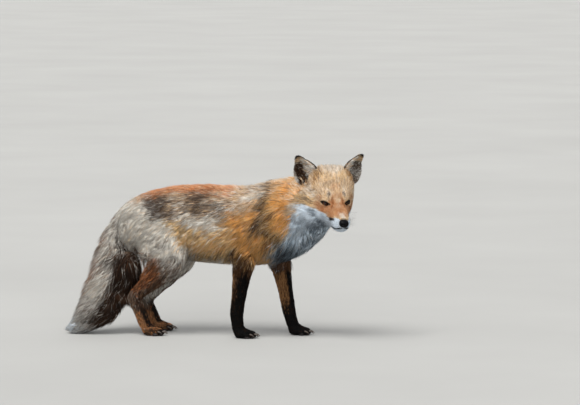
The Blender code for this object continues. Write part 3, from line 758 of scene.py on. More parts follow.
def union(thing, other):
    step = thing.modifiers.new("union", "BOOLEAN")
    step.operation = "UNION"
    step.solver = "MANIFOLD"
    step.object = other
    apply_modifiers(thing)
    bpy.data.objects.remove(other, do_unlink=True)
    return thing


def make_skin():
    """The finished skin, and the outline that its coat fills."""
    skin, outline = body_skin()
    for other in (head_skin(), ear_skin(1), ear_skin(-1)):
        union(skin, other)
    skin.name = "skin"
    return skin, outline


# ---- Regions ----

Coat = namedtuple("Coat", "nodes count width clump hold ragged muted shown drift stretch shade")
# nodes and count: the solids it lies over, and how many locks it takes
# width, clump, hold and ragged: a lock's full width, a clump's size, how far it gathers, how untidy
# muted: how far each lock keeps to the mean of its zone
# shown: how far along a lock its mark is read
# drift: how far a clump's colour may come from along its lie, which draws the marks out in streaks
# stretch: the share taken off the clumps' lengths when they are gathered, which makes them long
# shade: how much darker it is made, since short fur catches more light
COATS = {
    "coat_face": Coat(["head"], 32000, 0.0006, 0.003, 0.15, 0.7, 0.5, 0.34, 0.0012, 0.0, 0.86),
    "coat_crown": Coat(["head"], 26000, 0.00085, 0.0055, 0.34, 0.9, 0.45, 0.55, 0.003, 0.5, 0.86),
    "coat_ears": Coat(EAR_NODES, 14000, 0.00065, 0.003, 0.2, 0.8, 0.2, 0.25, 0.001, 0.0, 0.72),
    "coat_neck": Coat(["neck"], 31500, 0.00118, 0.008, 0.6, 1.0, 0.2, 0.55, 0.013, 0.68, 1.0),
    "coat_chest": Coat(["chest"], 31500, 0.00116, 0.0076, 0.58, 1.0, 0.2, 0.55, 0.014, 0.7, 1.0),
    "coat_loin": Coat(["loin"], 26000, 0.00116, 0.0072, 0.55, 1.0, 0.28, 0.55, 0.014, 0.7, 1.0),
    "coat_rump": Coat(["rump"], 20000, 0.00114, 0.0066, 0.55, 1.0, 0.4, 0.55, 0.012, 0.68, 1.0),
    "coat_thighs": Coat(THIGHS, 14500, 0.00108, 0.006, 0.5, 1.0, 0.36, 0.55, 0.009, 0.66, 1.0),
    "coat_tail": Coat(["tail"], 31500, 0.0012, 0.0075, 0.58, 1.1, 0.26, 0.55, 0.013, 0.66, 1.0),
    "coat_forelegs": Coat(FORELEGS, 11500, 0.0009, 0.0035, 0.22, 0.7, 0.2, 0.55, 0.002, 0.5, 1.0),
    "coat_hindlegs": Coat(HINDLEGS, 11500, 0.0009, 0.004, 0.25, 0.7, 0.2, 0.55, 0.002, 0.5, 1.0),
}
FACE_BACK = -0.014  # the face's fur ends this far behind the eyes
# The part of the neck that the cheeks' ruff covers, in the head's frame
RUFF_BACK, RUFF_LOW, RUFF_WIDE = -0.042, -0.06, 0.09


def label_faces(centres):
    """For each point, the name of the nearest flesh node."""
    total = sum(len(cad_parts[node].data.polygons) for node in FLESH_NODES)
    tree = KDTree(total)
    owners = []
    for node in FLESH_NODES:
        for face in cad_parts[node].data.polygons:
            tree.insert(face.center, len(owners))
            owners.append(node)
    tree.balance()
    labels = np.array([owners[tree.find(Vector(p))[1]] for p in centres])
    ahead, aside, up = world_to_head(centres).T
    ruff = (labels == "neck") & (ahead > RUFF_BACK) & (up > RUFF_LOW) & (np.abs(aside) < RUFF_WIDE)
    labels = np.where(ruff, "head", labels)
    for hand, name in EARS:
        root, up_ear, facing, across = ear_axes(hand)
        apart = world_to_head(centres) - root
        tall, side, deep = apart @ up_ear / EAR_TALL, apart @ across / EAR_WIDE, apart @ facing
        inside = (tall > -0.1) & (np.abs(side) < 1.0) & (deep > -0.026) & (deep < 0.001)
        labels = np.where(inside & np.isin(labels, ("head", "neck")), name, labels)
    return labels


# ---- Colours ----
# A hair's colours from above its root to its tip, as bytes

HAIRS = {
    "rust": ((160, 92, 54), (196, 120, 72), (210, 140, 92)),
    "gold": ((190, 126, 64), (232, 165, 90), (240, 184, 110)),
    "ochre": ((202, 160, 108), (238, 198, 138), (246, 214, 162)),
    "tan": ((180, 146, 112), (212, 180, 144), (224, 198, 166)),
    "cream": ((206, 201, 190), (238, 234, 225), (246, 243, 237)),
    "grey": ((138, 135, 130), (176, 172, 166), (170, 166, 160)),
    "brown": ((104, 80, 62), (128, 98, 74), (112, 86, 66)),
    "umber": ((50, 28, 11), (66, 38, 15), (54, 31, 14)),
    "dark": ((64, 54, 48), (60, 50, 45), (46, 39, 36)),
    "black": ((8, 7, 7), (7, 6, 6), (6, 5, 5)),
    "tear": ((112, 60, 28), (130, 72, 34), (140, 82, 44)),
    "slate": ((48, 53, 57), (44, 49, 53), (38, 42, 46)),
    "steel": ((92, 104, 116), (120, 134, 148), (114, 128, 142)),
    "silver": ((138, 156, 173), (178, 198, 215), (200, 218, 234)),
    "white": ((200, 212, 223), (226, 236, 245), (236, 243, 250)),
    "face_rust": ((154, 98, 60), (184, 126, 82), (198, 143, 98)),
    "leg_tan": ((120, 86, 54), (148, 108, 70), (140, 102, 68)),
}
ZONES = {
    # under fur, then the shares of its hairs
    "rust": ((132, 92, 66), {"rust": 0.72, "tan": 0.16, "brown": 0.12}),
    "saddle": ((108, 94, 84), {"brown": 0.34, "tan": 0.32, "dark": 0.18, "grey": 0.16}),
    "grizzle": ((78, 69, 64), {"dark": 0.58, "brown": 0.26, "grey": 0.16}),
    "ochre": ((138, 108, 74), {"ochre": 0.74, "cream": 0.12, "brown": 0.14}),
    "gold": ((130, 94, 60), {"gold": 0.78, "tan": 0.12, "brown": 0.1}),
    "tan": ((136, 112, 90), {"tan": 0.66, "cream": 0.22, "brown": 0.12}),
    "cream": ((140, 131, 119), {"cream": 0.66, "tan": 0.18, "grey": 0.16}),
    "pale": ((142, 136, 126), {"cream": 0.72, "grey": 0.14, "tan": 0.08, "dark": 0.06}),
    "band": ((74, 60, 52), {"dark": 0.56, "brown": 0.3, "tan": 0.14}),
    "umber": ((34, 23, 16), {"umber": 0.74, "brown": 0.26}),
    "black": ((8, 7, 7), {"black": 0.95, "umber": 0.05}),
    # bib: the white throat and chest with painted shade, grey-blue and darker
    "bib": ((88, 100, 113), {"silver": 0.38, "white": 0.38, "steel": 0.06, "slate": 0.18}),
    # slate: deeper painted shade, in the bib and along and under the jaw
    "slate": ((40, 44, 48), {"slate": 0.56, "steel": 0.32, "silver": 0.12}),
    "white": ((160, 168, 175), {"white": 0.88, "silver": 0.12}),
    "face": ((134, 94, 66), {"face_rust": 0.8, "tan": 0.14, "brown": 0.06}),
    "brow": ((136, 116, 96), {"tan": 0.46, "cream": 0.36, "face_rust": 0.12, "brown": 0.06}),
    "agouti": ((96, 87, 78), {"cream": 0.36, "grey": 0.27, "brown": 0.22, "dark": 0.15}),
    # tail_dark: painted shade on the brush's side towards the legs, along with its black guard hairs
    "tail_dark": ((20, 14, 12), {"dark": 0.14, "umber": 0.5, "black": 0.36}),
    "tail_rust": ((74, 52, 42), {"brown": 0.5, "dark": 0.22, "rust": 0.28}),
    "shank": ((70, 42, 25), {"rust": 0.34, "umber": 0.46, "brown": 0.2}),
    "hock": ((52, 43, 37), {"brown": 0.42, "grey": 0.1, "dark": 0.48}),
    "inner_leg": ((80, 57, 36), {"leg_tan": 0.86, "umber": 0.14}),
    "foot": ((96, 68, 46), {"leg_tan": 0.7, "rust": 0.25, "umber": 0.05}),
    "rim": ((6, 5, 5), {"black": 1.0}),
    "smudge": ((40, 32, 28), {"umber": 0.5, "dark": 0.35, "slate": 0.15}),
    "forehead": ((120, 100, 76), {"ochre": 0.3, "tan": 0.34, "cream": 0.14, "brown": 0.22}),
    "tear": ((92, 54, 31), {"tear": 0.8, "face_rust": 0.2}),
    "brown_rim": ((60, 44, 26), {"umber": 0.4, "tear": 0.4, "black": 0.2}),
    # hollow: painted shade in the ears' hollows
    "hollow": ((30, 21, 17), {"umber": 0.6, "black": 0.26, "brown": 0.14}),
    "ear_gold": ((66, 48, 28), {"leg_tan": 0.46, "brown": 0.22, "umber": 0.18, "ochre": 0.14}),
}
ZONE_NAMES = list(ZONES)

# Marks on the body in the order they are laid: centre (x, z), reach (x, z), tilt in degrees, zone, strength
SIDE_MARKS = [
    ((-0.06, 0.338), (0.175, 0.056), -4, "saddle", 0.95),
    ((-0.03, 0.385), (0.215, 0.026), 0, "rust", 1),
    ((-0.185, 0.366), (0.08, 0.024), 20, "rust", 0.95),
    ((0.035, 0.322), (0.05, 0.026), -10, "saddle", 0.8),
    ((0.03, 0.321), (0.034, 0.022), -10, "agouti", 0.6),
    ((0.055, 0.352), (0.04, 0.014), -8, "rust", 0.35),
    ((-0.142, 0.33), (0.038, 0.028), -20, "grizzle", 0.62),
    ((-0.15, 0.3), (0.02, 0.02), 50, "grizzle", 0.45),
    ((-0.034, 0.338), (0.04, 0.017), 55, "grizzle", 0.72),
    ((-0.066, 0.352), (0.026, 0.01), 20, "grizzle", 0.4),
    ((-0.002, 0.342), (0.03, 0.01), 50, "grizzle", 0.35),
    ((0.018, 0.308), (0.03, 0.013), 42, "grizzle", 0.32),
    ((-0.086, 0.35), (0.024, 0.012), 40, "tan", 0.65),
    ((-0.086, 0.318), (0.02, 0.016), 40, "cream", 0.35),
    ((-0.025, 0.291), (0.066, 0.019), -8, "cream", 1),
    ((0.01, 0.278), (0.03, 0.012), 30, "cream", 0.55),
    ((0.104, 0.27), (0.052, 0.088), 12, "gold", 0.95),
    ((0, 0.24), (0.085, 0.03), 0, "gold", 0.45),
    ((-0.048, 0.258), (0.06, 0.019), -12, "ochre", 1),
    ((0.06, 0.292), (0.02, 0.03), 30, "gold", 0.45),
    ((0.075, 0.342), (0.058, 0.028), -10, "tan", 0.88),
    ((0.1, 0.376), (0.05, 0.02), -8, "tan", 0.85),
    ((0.12, 0.364), (0.036, 0.026), -10, "cream", 0.75),
    ((0.092, 0.376), (0.04, 0.02), -5, "saddle", 0.85),
    ((0.19, 0.392), (0.08, 0.038), 12, "tan", 0.95),
    ((0.21, 0.335), (0.054, 0.062), 20, "gold", 0.92),
    ((0.225, 0.365), (0.04, 0.022), 0, "tan", 0.55),
    ((0.152, 0.38), (0.012, 0.026), -8, "band", 0.55),
    ((0.148, 0.345), (0.015, 0.034), -6, "band", 0.8),
    ((0.144, 0.312), (0.017, 0.026), 4, "band", 0.8),
    ((0.124, 0.285), (0.022, 0.02), 40, "band", 0.9),
    ((0.15, 0.278), (0.018, 0.018), 20, "band", 0.55),
    ((0.192, 0.312), (0.038, 0.044), 10, "gold", 0.95),
    ((0.158, 0.255), (0.032, 0.022), 45, "umber", 0.6),
    ((0.16, 0.216), (0.022, 0.022), 0, "slate", 0.7),
    ((0.072, 0.206), (0.036, 0.018), 0, "umber", 0.85),
    # a dark strip along the lower flank: painted shade where the body turns under to the belly
    ((-0.015, 0.206), (0.066, 0.011), 0, "umber", 0.45),
    ((-0.02, 0.185), (0.11, 0.014), 0, "pale", 0.85),
]
# The rump and thigh are pale behind a slanting line, and the bib is pale ahead of another
THIGH_LINE = ((-0.102, 0.262), (-0.86, -0.5), 0.014)
BIB_LINE = ((0.196, 0.266), (0.8, -0.6), 0.009)
BIB_TOP = (0.334, 0.344)
THIGH_MARKS = [
    ((-0.19, 0.305), (0.018, 0.06), 0, "cream", 0.9),
    ((-0.192, 0.35), (0.034, 0.018), 30, "tan", 0.8),
    ((-0.15, 0.262), (0.02, 0.034), 20, "cream", 0.45),
    ((-0.142, 0.322), (0.038, 0.03), -25, "grizzle", 0.9),
    ((-0.132, 0.232), (0.012, 0.026), 60, "grizzle", 0.35),
    ((-0.152, 0.17), (0.034, 0.034), 30, "shank", 0.9),
    ((-0.104, 0.168), (0.03, 0.032), 40, "hock", 0.85),
    ((-0.07, 0.2), (0.036, 0.028), 40, "agouti", 0.8),
]
BIB_MARKS = [
    ((0.185, 0.216), (0.038, 0.028), 0, "slate", 0.96),
    ((0.192, 0.202), (0.034, 0.016), 0, "black", 0.7),
    ((0.17, 0.176), (0.034, 0.022), 0, "umber", 0.9),
    ((0.258, 0.318), (0.042, 0.03), -10, "white", 0.8),
    ((0.232, 0.275), (0.022, 0.04), 30, "white", 0.3),
    ((0.262, 0.248), (0.036, 0.03), 0, "slate", 0.6),
    ((0.203, 0.24), (0.012, 0.034), 25, "slate", 0.5),
    ((0.238, 0.262), (0.009, 0.036), 25, "slate", 0.45),
    ((0.22, 0.3), (0.006, 0.03), 25, "slate", 0.2),
]
TAIL_LINE = [
    # the brush's middle, from its root to its tip
    (-0.212, 0, 0.318),
    (-0.234, 0, 0.3),
    (-0.256, -0.004, 0.255),
    (-0.264, -0.01, 0.205),
    (-0.27, -0.018, 0.157),
    (-0.286, -0.03, 0.109),
    (-0.307, -0.042, 0.068),
    (-0.33, -0.052, 0.037),
    (-0.356, -0.06, 0.017),
    (-0.376, -0.064, 0.007),
]
HEAD_MARKS = [
    # centre (ahead, aside, up), reach, zone, strength
    ((-0.06, 0, 0.06), 0.05, "tan", 0.45),
    ((-0.052, 0.008, 0.072), 0.026, "cream", 0.46),
    ((-0.038, 0.026, 0.056), 0.013, "band", 0.26),
    ((-0.02, 0.022, 0.04), 0.016, "band", 0.16),
    ((-0.01, 0.004, 0.034), 0.011, "tear", 0.22),
    ((-0.034, 0.022, 0.056), 0.016, "ochre", 0.45),
    ((-0.085, 0.055, 0), 0.05, "gold", 0.85),
    ((-0.04, 0.068, 0), 0.03, "ochre", 0.85),
    ((-0.016, 0.058, -0.006), 0.016, "ochre", 0.8),
    ((-0.045, 0.06, 0.02), 0.022, "tan", 0.75),
    ((-0.028, 0.05, 0.018), 0.016, "cream", 0.35),
    ((-0.015, 0.036, 0.028), 0.013, "tan", 0.4),
    ((-0.014, 0.056, -0.003), 0.007, "band", 0.6),
    ((-0.024, 0.062, 0), 0.006, "band", 0.4),
    ((-0.03, 0.004, 0.054), 0.01, "ochre", 0.3),
    ((-0.014, 0.004, 0.038), 0.01, "rust", 0.12),
    ((-0.048, 0.034, 0.056), 0.014, "ochre", 0.6),
    ((-0.046, 0.04, 0.05), 0.012, "gold", 0.4),
    ((-0.044, 0.04, 0.046), 0.009, "band", 0.35),
    ((-0.036, 0.07, -0.004), 0.02, "band", 0.38),
    ((0.006, 0.006, 0.02), 0.01, "face", 0.55),
    ((0.036, 0, 0.002), 0.02, "face", 0.95),
    ((0.052, 0.006, -0.006), 0.014, "face", 0.85),
    ((0.018, 0.014, 0.004), 0.013, "face", 0.95),
    ((0.03, 0.02, -0.012), 0.014, "face", 0.95),
    ((0.014, 0.032, -0.01), 0.013, "face", 0.95),
    ((0.008, 0.038, -0.014), 0.01, "tear", 0.48),
    ((-0.002, 0.041, -0.006), 0.011, "face", 0.8),
    ((-0.006, 0.04, 0.012), 0.009, "face", 0.5),
    ((0.044, 0.018, -0.013), 0.011, "face", 0.85),
    ((0.022, 0, 0.012), 0.0075, "tan", 0.4),
    ((0.034, 0, 0.004), 0.009, "tan", 0.35),
    ((0.014, 0.022, -0.004), 0.007, "tear", 0.45),
    ((0.006, 0.033, -0.01), 0.0055, "tear", 0.4),
    ((-0.002, 0.04, -0.008), 0.005, "tear", 0.35),
    ((0.064, 0, -0.01), 0.0095, "cream", 0.66),
    ((0.056, 0.006, -0.008), 0.005, "cream", 0.24),
    ((0.001, 0.0195, 0.0225), 0.0075, "cream", 0.4),
    ((-0.009, 0.021, 0.031), 0.007, "cream", 0.3),
    ((0.003, 0.019, 0.021), 0.0056, "band", 0.62),
    ((-0.0008, 0.0179, 0.0236), 0.0038, "hock", 0.95),
    ((-0.036, 0.039, 0.048), 0.011, "ear_gold", 0.4),
    ((-0.046, 0.042, 0.052), 0.014, "ear_gold", 0.9),
    ((-0.05, 0.036, 0.063), 0.01, "ear_gold", 0.55),
    ((-0.037, 0.046, 0.038), 0.01, "ear_gold", 0.7),
    ((-0.031, 0.045, 0.03), 0.009, "ear_gold", 0.5),
    ((-0.05, 0.052, 0.03), 0.011, "band", 0.6),
    ((-0.04, 0.056, 0.02), 0.011, "cream", 0.45),
    ((-0.0115, 0.0409, 0.0092), 0.0034, "rim", 0.9),
]
# How high the white of the lips and cheeks comes, from the back of the head to the nose
WHITE_LEVEL = (
    [-0.045, -0.034, -0.014, -0.004, 0.006, 0.02, 0.04, 0.05, 0.06, 0.072],
    [-0.02, -0.015, -0.0135, -0.017, -0.02, -0.0225, -0.0225, -0.0205, -0.017, -0.0155])
WHITE_BACK = (-0.046, -0.036)
TEAR_LINE = [(0.01, 0.0127, 0.014), (0.02, 0.0125, 0.0048), (0.0262, 0.0163, -0.002)]
CORNER_LINE = [(0.009, 0.0235, 0.001), (0.013, 0.0205, 0.0022), (0.0175, 0.0176, 0.0022)]
GREY_LINE = [(-0.007, 0.057, -0.023), (0.003, 0.05, -0.028), (0.007, 0.039, -0.039), (0.004, 0.027, -0.054)]
SMUDGE = [(0.042, 0.0246, -0.0234), (0.05, 0.0243, -0.0222), (0.0585, 0.0234, -0.0214)]
EAR_DARK = {-1: (-0.2, 0.76), 1: (0.44, 0.86)}  # where each ear's hollow is painted dark as shade, up its height
JAW_SHADE = ((0.0, 0.038, -0.057), 0.025)
CHEEK_LIGHT = ((0.014, 0.033, -0.029), 0.013)
EAR_FOOT = ((-0.07, 0.052, 0.03), 0.015)


MARK_EDGE = (0.55, 1.25)  # where a mark starts to fade and where it is gone, as shares of its reach


def ellipse(x, z, centre, reach, tilt):
    """1 in the middle of a tilted ellipse, falling softly to 0 round its edge."""
    turn = math.radians(tilt)
    dx, dz = x - centre[0], z - centre[1]
    along = dx * math.cos(turn) + dz * math.sin(turn)
    over = dz * math.cos(turn) - dx * math.sin(turn)
    return fall(*MARK_EDGE, np.sqrt((along / reach[0]) ** 2 + (over / reach[1]) ** 2))


def ball(points, centre, reach, edge=1.2):
    """1 in the middle of a round mark, falling softly from half its reach to this many reaches."""
    return fall(0.5, edge, np.linalg.norm(points - np.array(centre), axis=1) / reach)


def beyond(x, z, point, way, soft):
    """1 past a slanting line, 0 before it."""
    return smoothstep(-soft, soft, (x - point[0]) * way[0] + (z - point[1]) * way[1])


def distances(line):
    """How far along a line of straight runs each of its points is."""
    return np.concatenate([[0], np.cumsum(np.linalg.norm(np.diff(line, axis=0), axis=1))])


def line_places(line, share):
    """The places along a line at these shares of its length."""
    line = np.array(line, float)
    runs = distances(line)
    return np.stack([np.interp(share * runs[-1], runs, line[:, axis]) for axis in range(3)], 1)


def along_line(points, line):
    """For each point: the nearest place along a line, as a share of its length, and how far off it is."""
    line = np.array(line)
    starts = distances(line)
    runs = np.diff(starts)
    best, share = np.full(len(points), np.inf), np.zeros(len(points))
    for k, (start, end) in enumerate(zip(line[:-1], line[1:])):
        way = end - start
        t = np.clip((points - start) @ way / (way @ way), 0, 1)
        far = np.linalg.norm(points - start - t[:, None] * way, axis=1)
        nearer = far < best
        best = np.where(nearer, far, best)
        share = np.where(nearer, (starts[k] + t * runs[k]) / starts[-1], share)
    return share, best


# How the marks' edges wander: the size of the waves, how far they go, and a seed for each axis
WANDERS = ((0.03, 0.0055, (1, 2, 3)), (0.011, 0.0022, (4, 5, 6)))
HEAD_WANDER = 0.3  # the share of it on the head


class Markings:
    """Zone weights at points: each mark covers what was laid before it."""

    def __init__(self, points, labels, out):
        self.out = out
        wander = np.zeros(points.shape)
        for size, far, seeds in WANDERS:
            wander += np.stack([waves(points, size, seed) for seed in seeds], 1) * far
        self.place = points - SHIFT + wander
        self.head_exact = world_to_head(points)
        self.head = self.head_exact + wander * HEAD_WANDER
        self.labels = labels
        self.weights = np.zeros((len(points), len(ZONE_NAMES)))
        self.weights[:, ZONE_NAMES.index("ochre")] = 1

    def lay(self, zone, share):
        self.weights *= 1 - share[:, None]
        self.weights[:, ZONE_NAMES.index(zone)] += share

    def on(self, *starts):
        return np.array([label.startswith(starts) for label in self.labels], float)

    def body(self):
        x, _, z = self.place.T
        for centre, reach, tilt, zone, strength in SIDE_MARKS:
            self.lay(zone, strength * ellipse(x, z, centre, reach, tilt))
        pale = beyond(x, z, *THIGH_LINE)
        self.lay("pale", 0.95 * pale * fall(0.345, 0.372, z))
        for centre, reach, tilt, zone, strength in THIGH_MARKS:
            self.lay(zone, strength * ellipse(x, z, centre, reach, tilt))
        spine = smoothstep(0.62, 0.9, self.out[:, 2]) * smoothstep(-0.215, -0.185, x) * fall(0.04, 0.07, x)
        self.lay("rust", 0.66 * spine * self.on("chest", "loin", "rump"))
        # the bib: white throat fur with painted shade, grey-blue and darker
        bib = beyond(x, z, *BIB_LINE) * fall(*BIB_TOP, z)
        self.lay("bib", bib)
        for centre, reach, tilt, zone, strength in BIB_MARKS:
            self.lay(zone, strength * bib * ellipse(x, z, centre, reach, tilt))

    def tail(self):
        on = self.on("tail")
        share, _ = along_line(self.place, TAIL_LINE)
        middle_x, _, middle_z = line_places(TAIL_LINE, share).T
        x, _, z = self.place.T
        ahead = x - middle_x  # towards the legs
        fade = smoothstep(0.02, 0.16, share)
        self.lay("agouti", on * fade)
        self.lay("cream", 0.75 * on * ellipse(x, z, (-0.308, 0.118), (0.032, 0.05), 60))
        upper = ellipse(middle_x, middle_z, (-0.262, 0.215), (0.03, 0.06), 0) * (ahead < 0.01)
        self.lay("cream", 0.25 * on * fade * upper)
        self.lay("tail_rust", 0.85 * on * fade * smoothstep(0.016, 0.032, -ahead))
        # the brush's side towards the legs is painted dark: shade, along with its black guard hairs
        self.lay("tail_dark", 0.95 * on * smoothstep(0.1, 0.24, share) * smoothstep(0.0, 0.022, ahead))
        self.lay("white", 0.5 * on * smoothstep(0.86, 0.95, share))

    def legs(self):
        _, y, z = self.place.T
        fore, hind = self.on("forearm", "paw"), self.on("shank", "foot")
        thigh = self.on("thigh")
        inward = -np.sign(y) * self.out[:, 1]
        front = self.out[:, 0]
        upper = self.on("chest") * fall(0.18, 0.205, z) * smoothstep(0.02, 0.04, np.abs(y))
        self.lay("umber", np.clip(fore + upper, 0, 1))
        self.lay("black", fore * fall(0.15, 0.182, z) * (0.35 + 0.65 * smoothstep(-0.5, 0.1, front)))
        self.lay("black", fore * fall(0.06, 0.12, z))
        inner = fore * smoothstep(0.15, 0.55, inward - 0.75 * front) * smoothstep(0.06, 0.1, z)
        self.lay("inner_leg", 0.9 * inner)
        rear = fore * smoothstep(0.35, 0.75, -front) * smoothstep(0.1, 0.15, z)
        self.lay("inner_leg", 0.6 * rear)
        self.lay("hock", hind)
        self.lay("umber", 0.75 * hind * smoothstep(-0.2, 0.5, front) * fall(0.11, 0.2, z))
        behind = smoothstep(-0.35, 0.2, -front) * smoothstep(0.095, 0.12, z) * fall(0.172, 0.192, z)
        self.lay("shank", 0.9 * hind * behind)
        self.lay("pale", 0.8 * (hind + thigh) * smoothstep(0.25, 0.7, inward) * smoothstep(0.05, 0.1, z))
        self.lay("foot", 0.85 * hind * fall(0.035, 0.075, z))
        self.lay("black", 0.92 * hind * smoothstep(0.15, 0.55, front) * fall(0.05, 0.1, z))
        self.lay("black", 0.7 * (fore + hind) * fall(0.01, 0.018, z))

    def head_and_ears(self):
        on = self.on("head")
        q, exact = one_side(self.head), one_side(self.head_exact)
        self.lay("forehead", on)
        for centre, reach, zone, strength in HEAD_MARKS:
            place = exact if reach < 0.004 else q
            self.lay(zone, strength * on * ball(place, centre, reach))
        level = np.interp(q[:, 0], *WHITE_LEVEL)
        white = fall(-0.0015, 0.0015, q[:, 2] - level) * smoothstep(*WHITE_BACK, q[:, 0])
        self.lay("white", on * white)
        # white low under the jaw takes the bib's painted shade
        under = smoothstep(0.02, 0.04, level - q[:, 2]) * fall(-0.01, 0.02, q[:, 0])
        self.lay("bib", 0.55 * on * white * under)
        _, far = along_line(q, GREY_LINE)
        self.lay("slate", 0.72 * on * fall(0.002, 0.009, far))
        self.lay("slate", 0.72 * self.on("head", "neck") * ball(q, *JAW_SHADE, edge=1.3))
        self.lay("white", 0.85 * on * white * ball(q, *CHEEK_LIGHT))
        self.lay("ear_gold", 0.8 * self.on("head", "neck") * ball(q, *EAR_FOOT))
        _, far = along_line(q, SMUDGE)
        self.lay("smudge", 0.97 * on * fall(0.0024, 0.0058, far))
        _, far = along_line(exact, TEAR_LINE)
        self.lay("tear", 0.85 * on * fall(0.0014, 0.0042, far))
        _, far = along_line(exact, CORNER_LINE)
        self.lay("rim", 0.95 * on * fall(0.0012, 0.0026, far))
        lips = away_from_line(exact, np.array(MOUTH))
        self.lay("rim", 0.95 * on * fall(0.0018, 0.0036, lips) * smoothstep(0.0, 0.034, exact[:, 0]))
        for hand in (1, -1):
            far, edge = eye_opening(self.head_exact, hand)
            near = (far < 0.0165) * ((self.head_exact[:, 1] * hand) > 0)
            self.lay("rim", near * fall(1.35, 1.75, edge))
            self.ear(hand)

    def ear(self, hand):
        on = self.on("ear_left" if hand > 0 else "ear_right")
        root, up, facing, across = ear_axes(hand)
        apart = self.head_exact - root
        tall = apart @ up / EAR_TALL
        side = apart @ across * hand / EAR_WIDE  # outward
        front = (self.out @ HEAD_AXES) @ facing
        self.lay("black", on)
        self.lay("tan", on * fall(0.02, 0.22, tall) * (front < 0))
        inner = on * smoothstep(0.0, 0.25, front)
        cupped = (apart @ facing > 0.015 * side**2 - 0.0155) & (tall < 0.4)
        inner = np.maximum(inner, on * cupped)
        self.lay("agouti", inner)
        self.lay("brow", 0.75 * inner * fall(-0.35, 0.15, side) * fall(0.35, 0.6, tall))
        if hand < 0:
            self.lay("band", 0.8 * inner * smoothstep(0.3, 0.55, tall) * fall(0.1, 0.4, side))
        else:
            self.lay("band", 0.65 * inner * fall(0.1, 0.28, tall))
        # painted shade in the hollow, over more of the right ear than the left
        hollow = smoothstep(-0.15, 0.2, side) * fall(0.7, 0.84, side)
        low, high = EAR_DARK[hand]
        hollow = hollow * smoothstep(low - 0.1, low + 0.05, tall) * fall(high - 0.1, high + 0.08, tall)
        self.lay("hollow", (0.95 if hand < 0 else 0.65) * inner * hollow)
        self.lay("ochre", 0.7 * inner * smoothstep(0.66, 0.84, tall))
        outside = smoothstep(0.72, 0.86, side) * fall(0.45, 0.6, tall)
        self.lay("cream", (0.8 if hand < 0 else 0.5) * inner * outside)
        golden = fall(-0.7, -0.3, side) * fall(0.6, 0.9, tall)
        self.lay("ear_gold", 0.9 * inner * golden)
        self.lay("brown_rim", 0.85 * inner * fall(-0.92, -0.66, side) * smoothstep(0.15, 0.35, tall))
        rim = np.abs(side) - 0.8 * np.clip(1 - np.clip(tall, 0, 1) ** 3, 0, 1) ** 0.56
        edge = on * smoothstep(0.88, 0.97, tall) * (front > 0)
        edge = np.maximum(edge, inner * smoothstep(0.0, 0.08, rim) * smoothstep(0.62, 0.8, tall))
        edge = np.maximum(edge, inner * smoothstep(0.84, 0.94, side) * smoothstep(0.45, 0.6, tall))
        self.lay("black", np.clip(edge, 0, 1))

    def lay_all(self):
        self.body()
        self.tail()
        self.legs()
        self.head_and_ears()
        return self.weights


def under_colours(weights):
    """The skin's colour: the under fur of the zones there."""
    roots = np.array([linear(ZONES[name][0]) for name in ZONE_NAMES])
    return weights @ roots


def hair_shares():
    names = list(HAIRS)
    table = np.zeros((len(ZONE_NAMES), len(names)))
    for row, name in enumerate(ZONE_NAMES):
        for hair, share in ZONES[name][1].items():
            table[row, names.index(hair)] = share
    return table, np.array([[linear(c) for c in HAIRS[name]] for name in names])


HAIR_SHARES, HAIR_COLOURS = hair_shares()
# light hairs and dark ones keep to their ends of this order, so that locks streak
HAIR_ORDER = np.argsort(HAIR_COLOURS.mean(axis=(1, 2)))


def pick_hairs(weights, draw):
    """Chooses each lock's hair: draw is a number from 0 to 1, dark hairs first."""
    shares = (weights @ HAIR_SHARES)[:, HAIR_ORDER]
    ends = np.cumsum(shares, axis=1)
    chosen = (draw[:, None] * ends[:, -1:] > ends).sum(1)
    return HAIR_ORDER[np.clip(chosen, 0, len(HAIR_ORDER) - 1)]


# ---- Growing the coat ----

SEED = 7
# Where the coat stands fuller than the solids, or less full: centre, reach and how much more
LOFTS = [
    ((0.225, -0.02, 0.4), 0.045, 0.3),  # nape
    ((0.11, 0, 0.385), 0.05, 0.35),
    ((0, 0, 0.385), 0.07, 0.25),
    ((-0.09, 0, 0.38), 0.06, 0.25),
    ((0.3, -0.036, 0.42), 0.044, 0.45),  # crown, between the ears
    ((0.282, -0.043, 0.425), 0.018, 0.6),
    ((0.333, -0.011, 0.425), 0.018, 0.6),
    ((0.266, -0.051, 0.407), 0.018, -0.7),  # in front of the ears the fur is short
    ((0.338, -0.004, 0.406), 0.015, -0.55),
    ((-0.204, -0.025, 0.186), 0.036, 1.1),  # the brush, towards the legs
    ((-0.25, -0.045, 0.058), 0.036, 0.8),
    ((-0.3, -0.02, 0.213), 0.034, 0.35),
    ((-0.134, -0.075, 0.124), 0.026, 1.4),  # the front of the shank
    ((-0.172, -0.06, 0.185), 0.028, 1),  # the back of the thigh
]
PATCH = 0.003  # the size of a lock's patch on the bake map
LOCK_STEPS = {1: (0.0, 0.42, 1.0), 2: (0.0, 0.34, 0.7, 1.0)}  # along it, by how many rings it has
LOCK_SECTION = ((1, -0.2), (0, 0.85), (-1, -0.2))  # a ring's corners, across and up: a ridge on top
ROOT_DEPTH = 0.0012  # how far under the skin a lock starts
EYE_BARE = (0.0145, 2.0)  # no fur this near an eye and this near its almond
NOSE_BARE = ((0.0765, 0, -0.0235), (0.0105, 0.0122, 0.01))  # centre and radii, in the head's frame
LIPS_BARE = 0.0011
SOLE_LEVEL = 0.006
# What each lock's lean and shade come from: slow waves, its clump, and the lock alone
WAVE_LEAN, CLUMP_LEAN, LOCK_LEAN = 0.2, 0.16, 0.1
CLUMP_TONE, LOCK_TONE, BRIGHTNESS = 0.36, 0.26, 0.07
CLUMP_RISE, LENGTHS, WRAPS, WIDTHS = (0.74, 1.08), (0.72, 1.12), (0.7, 0.98), (0.65, 1.25)


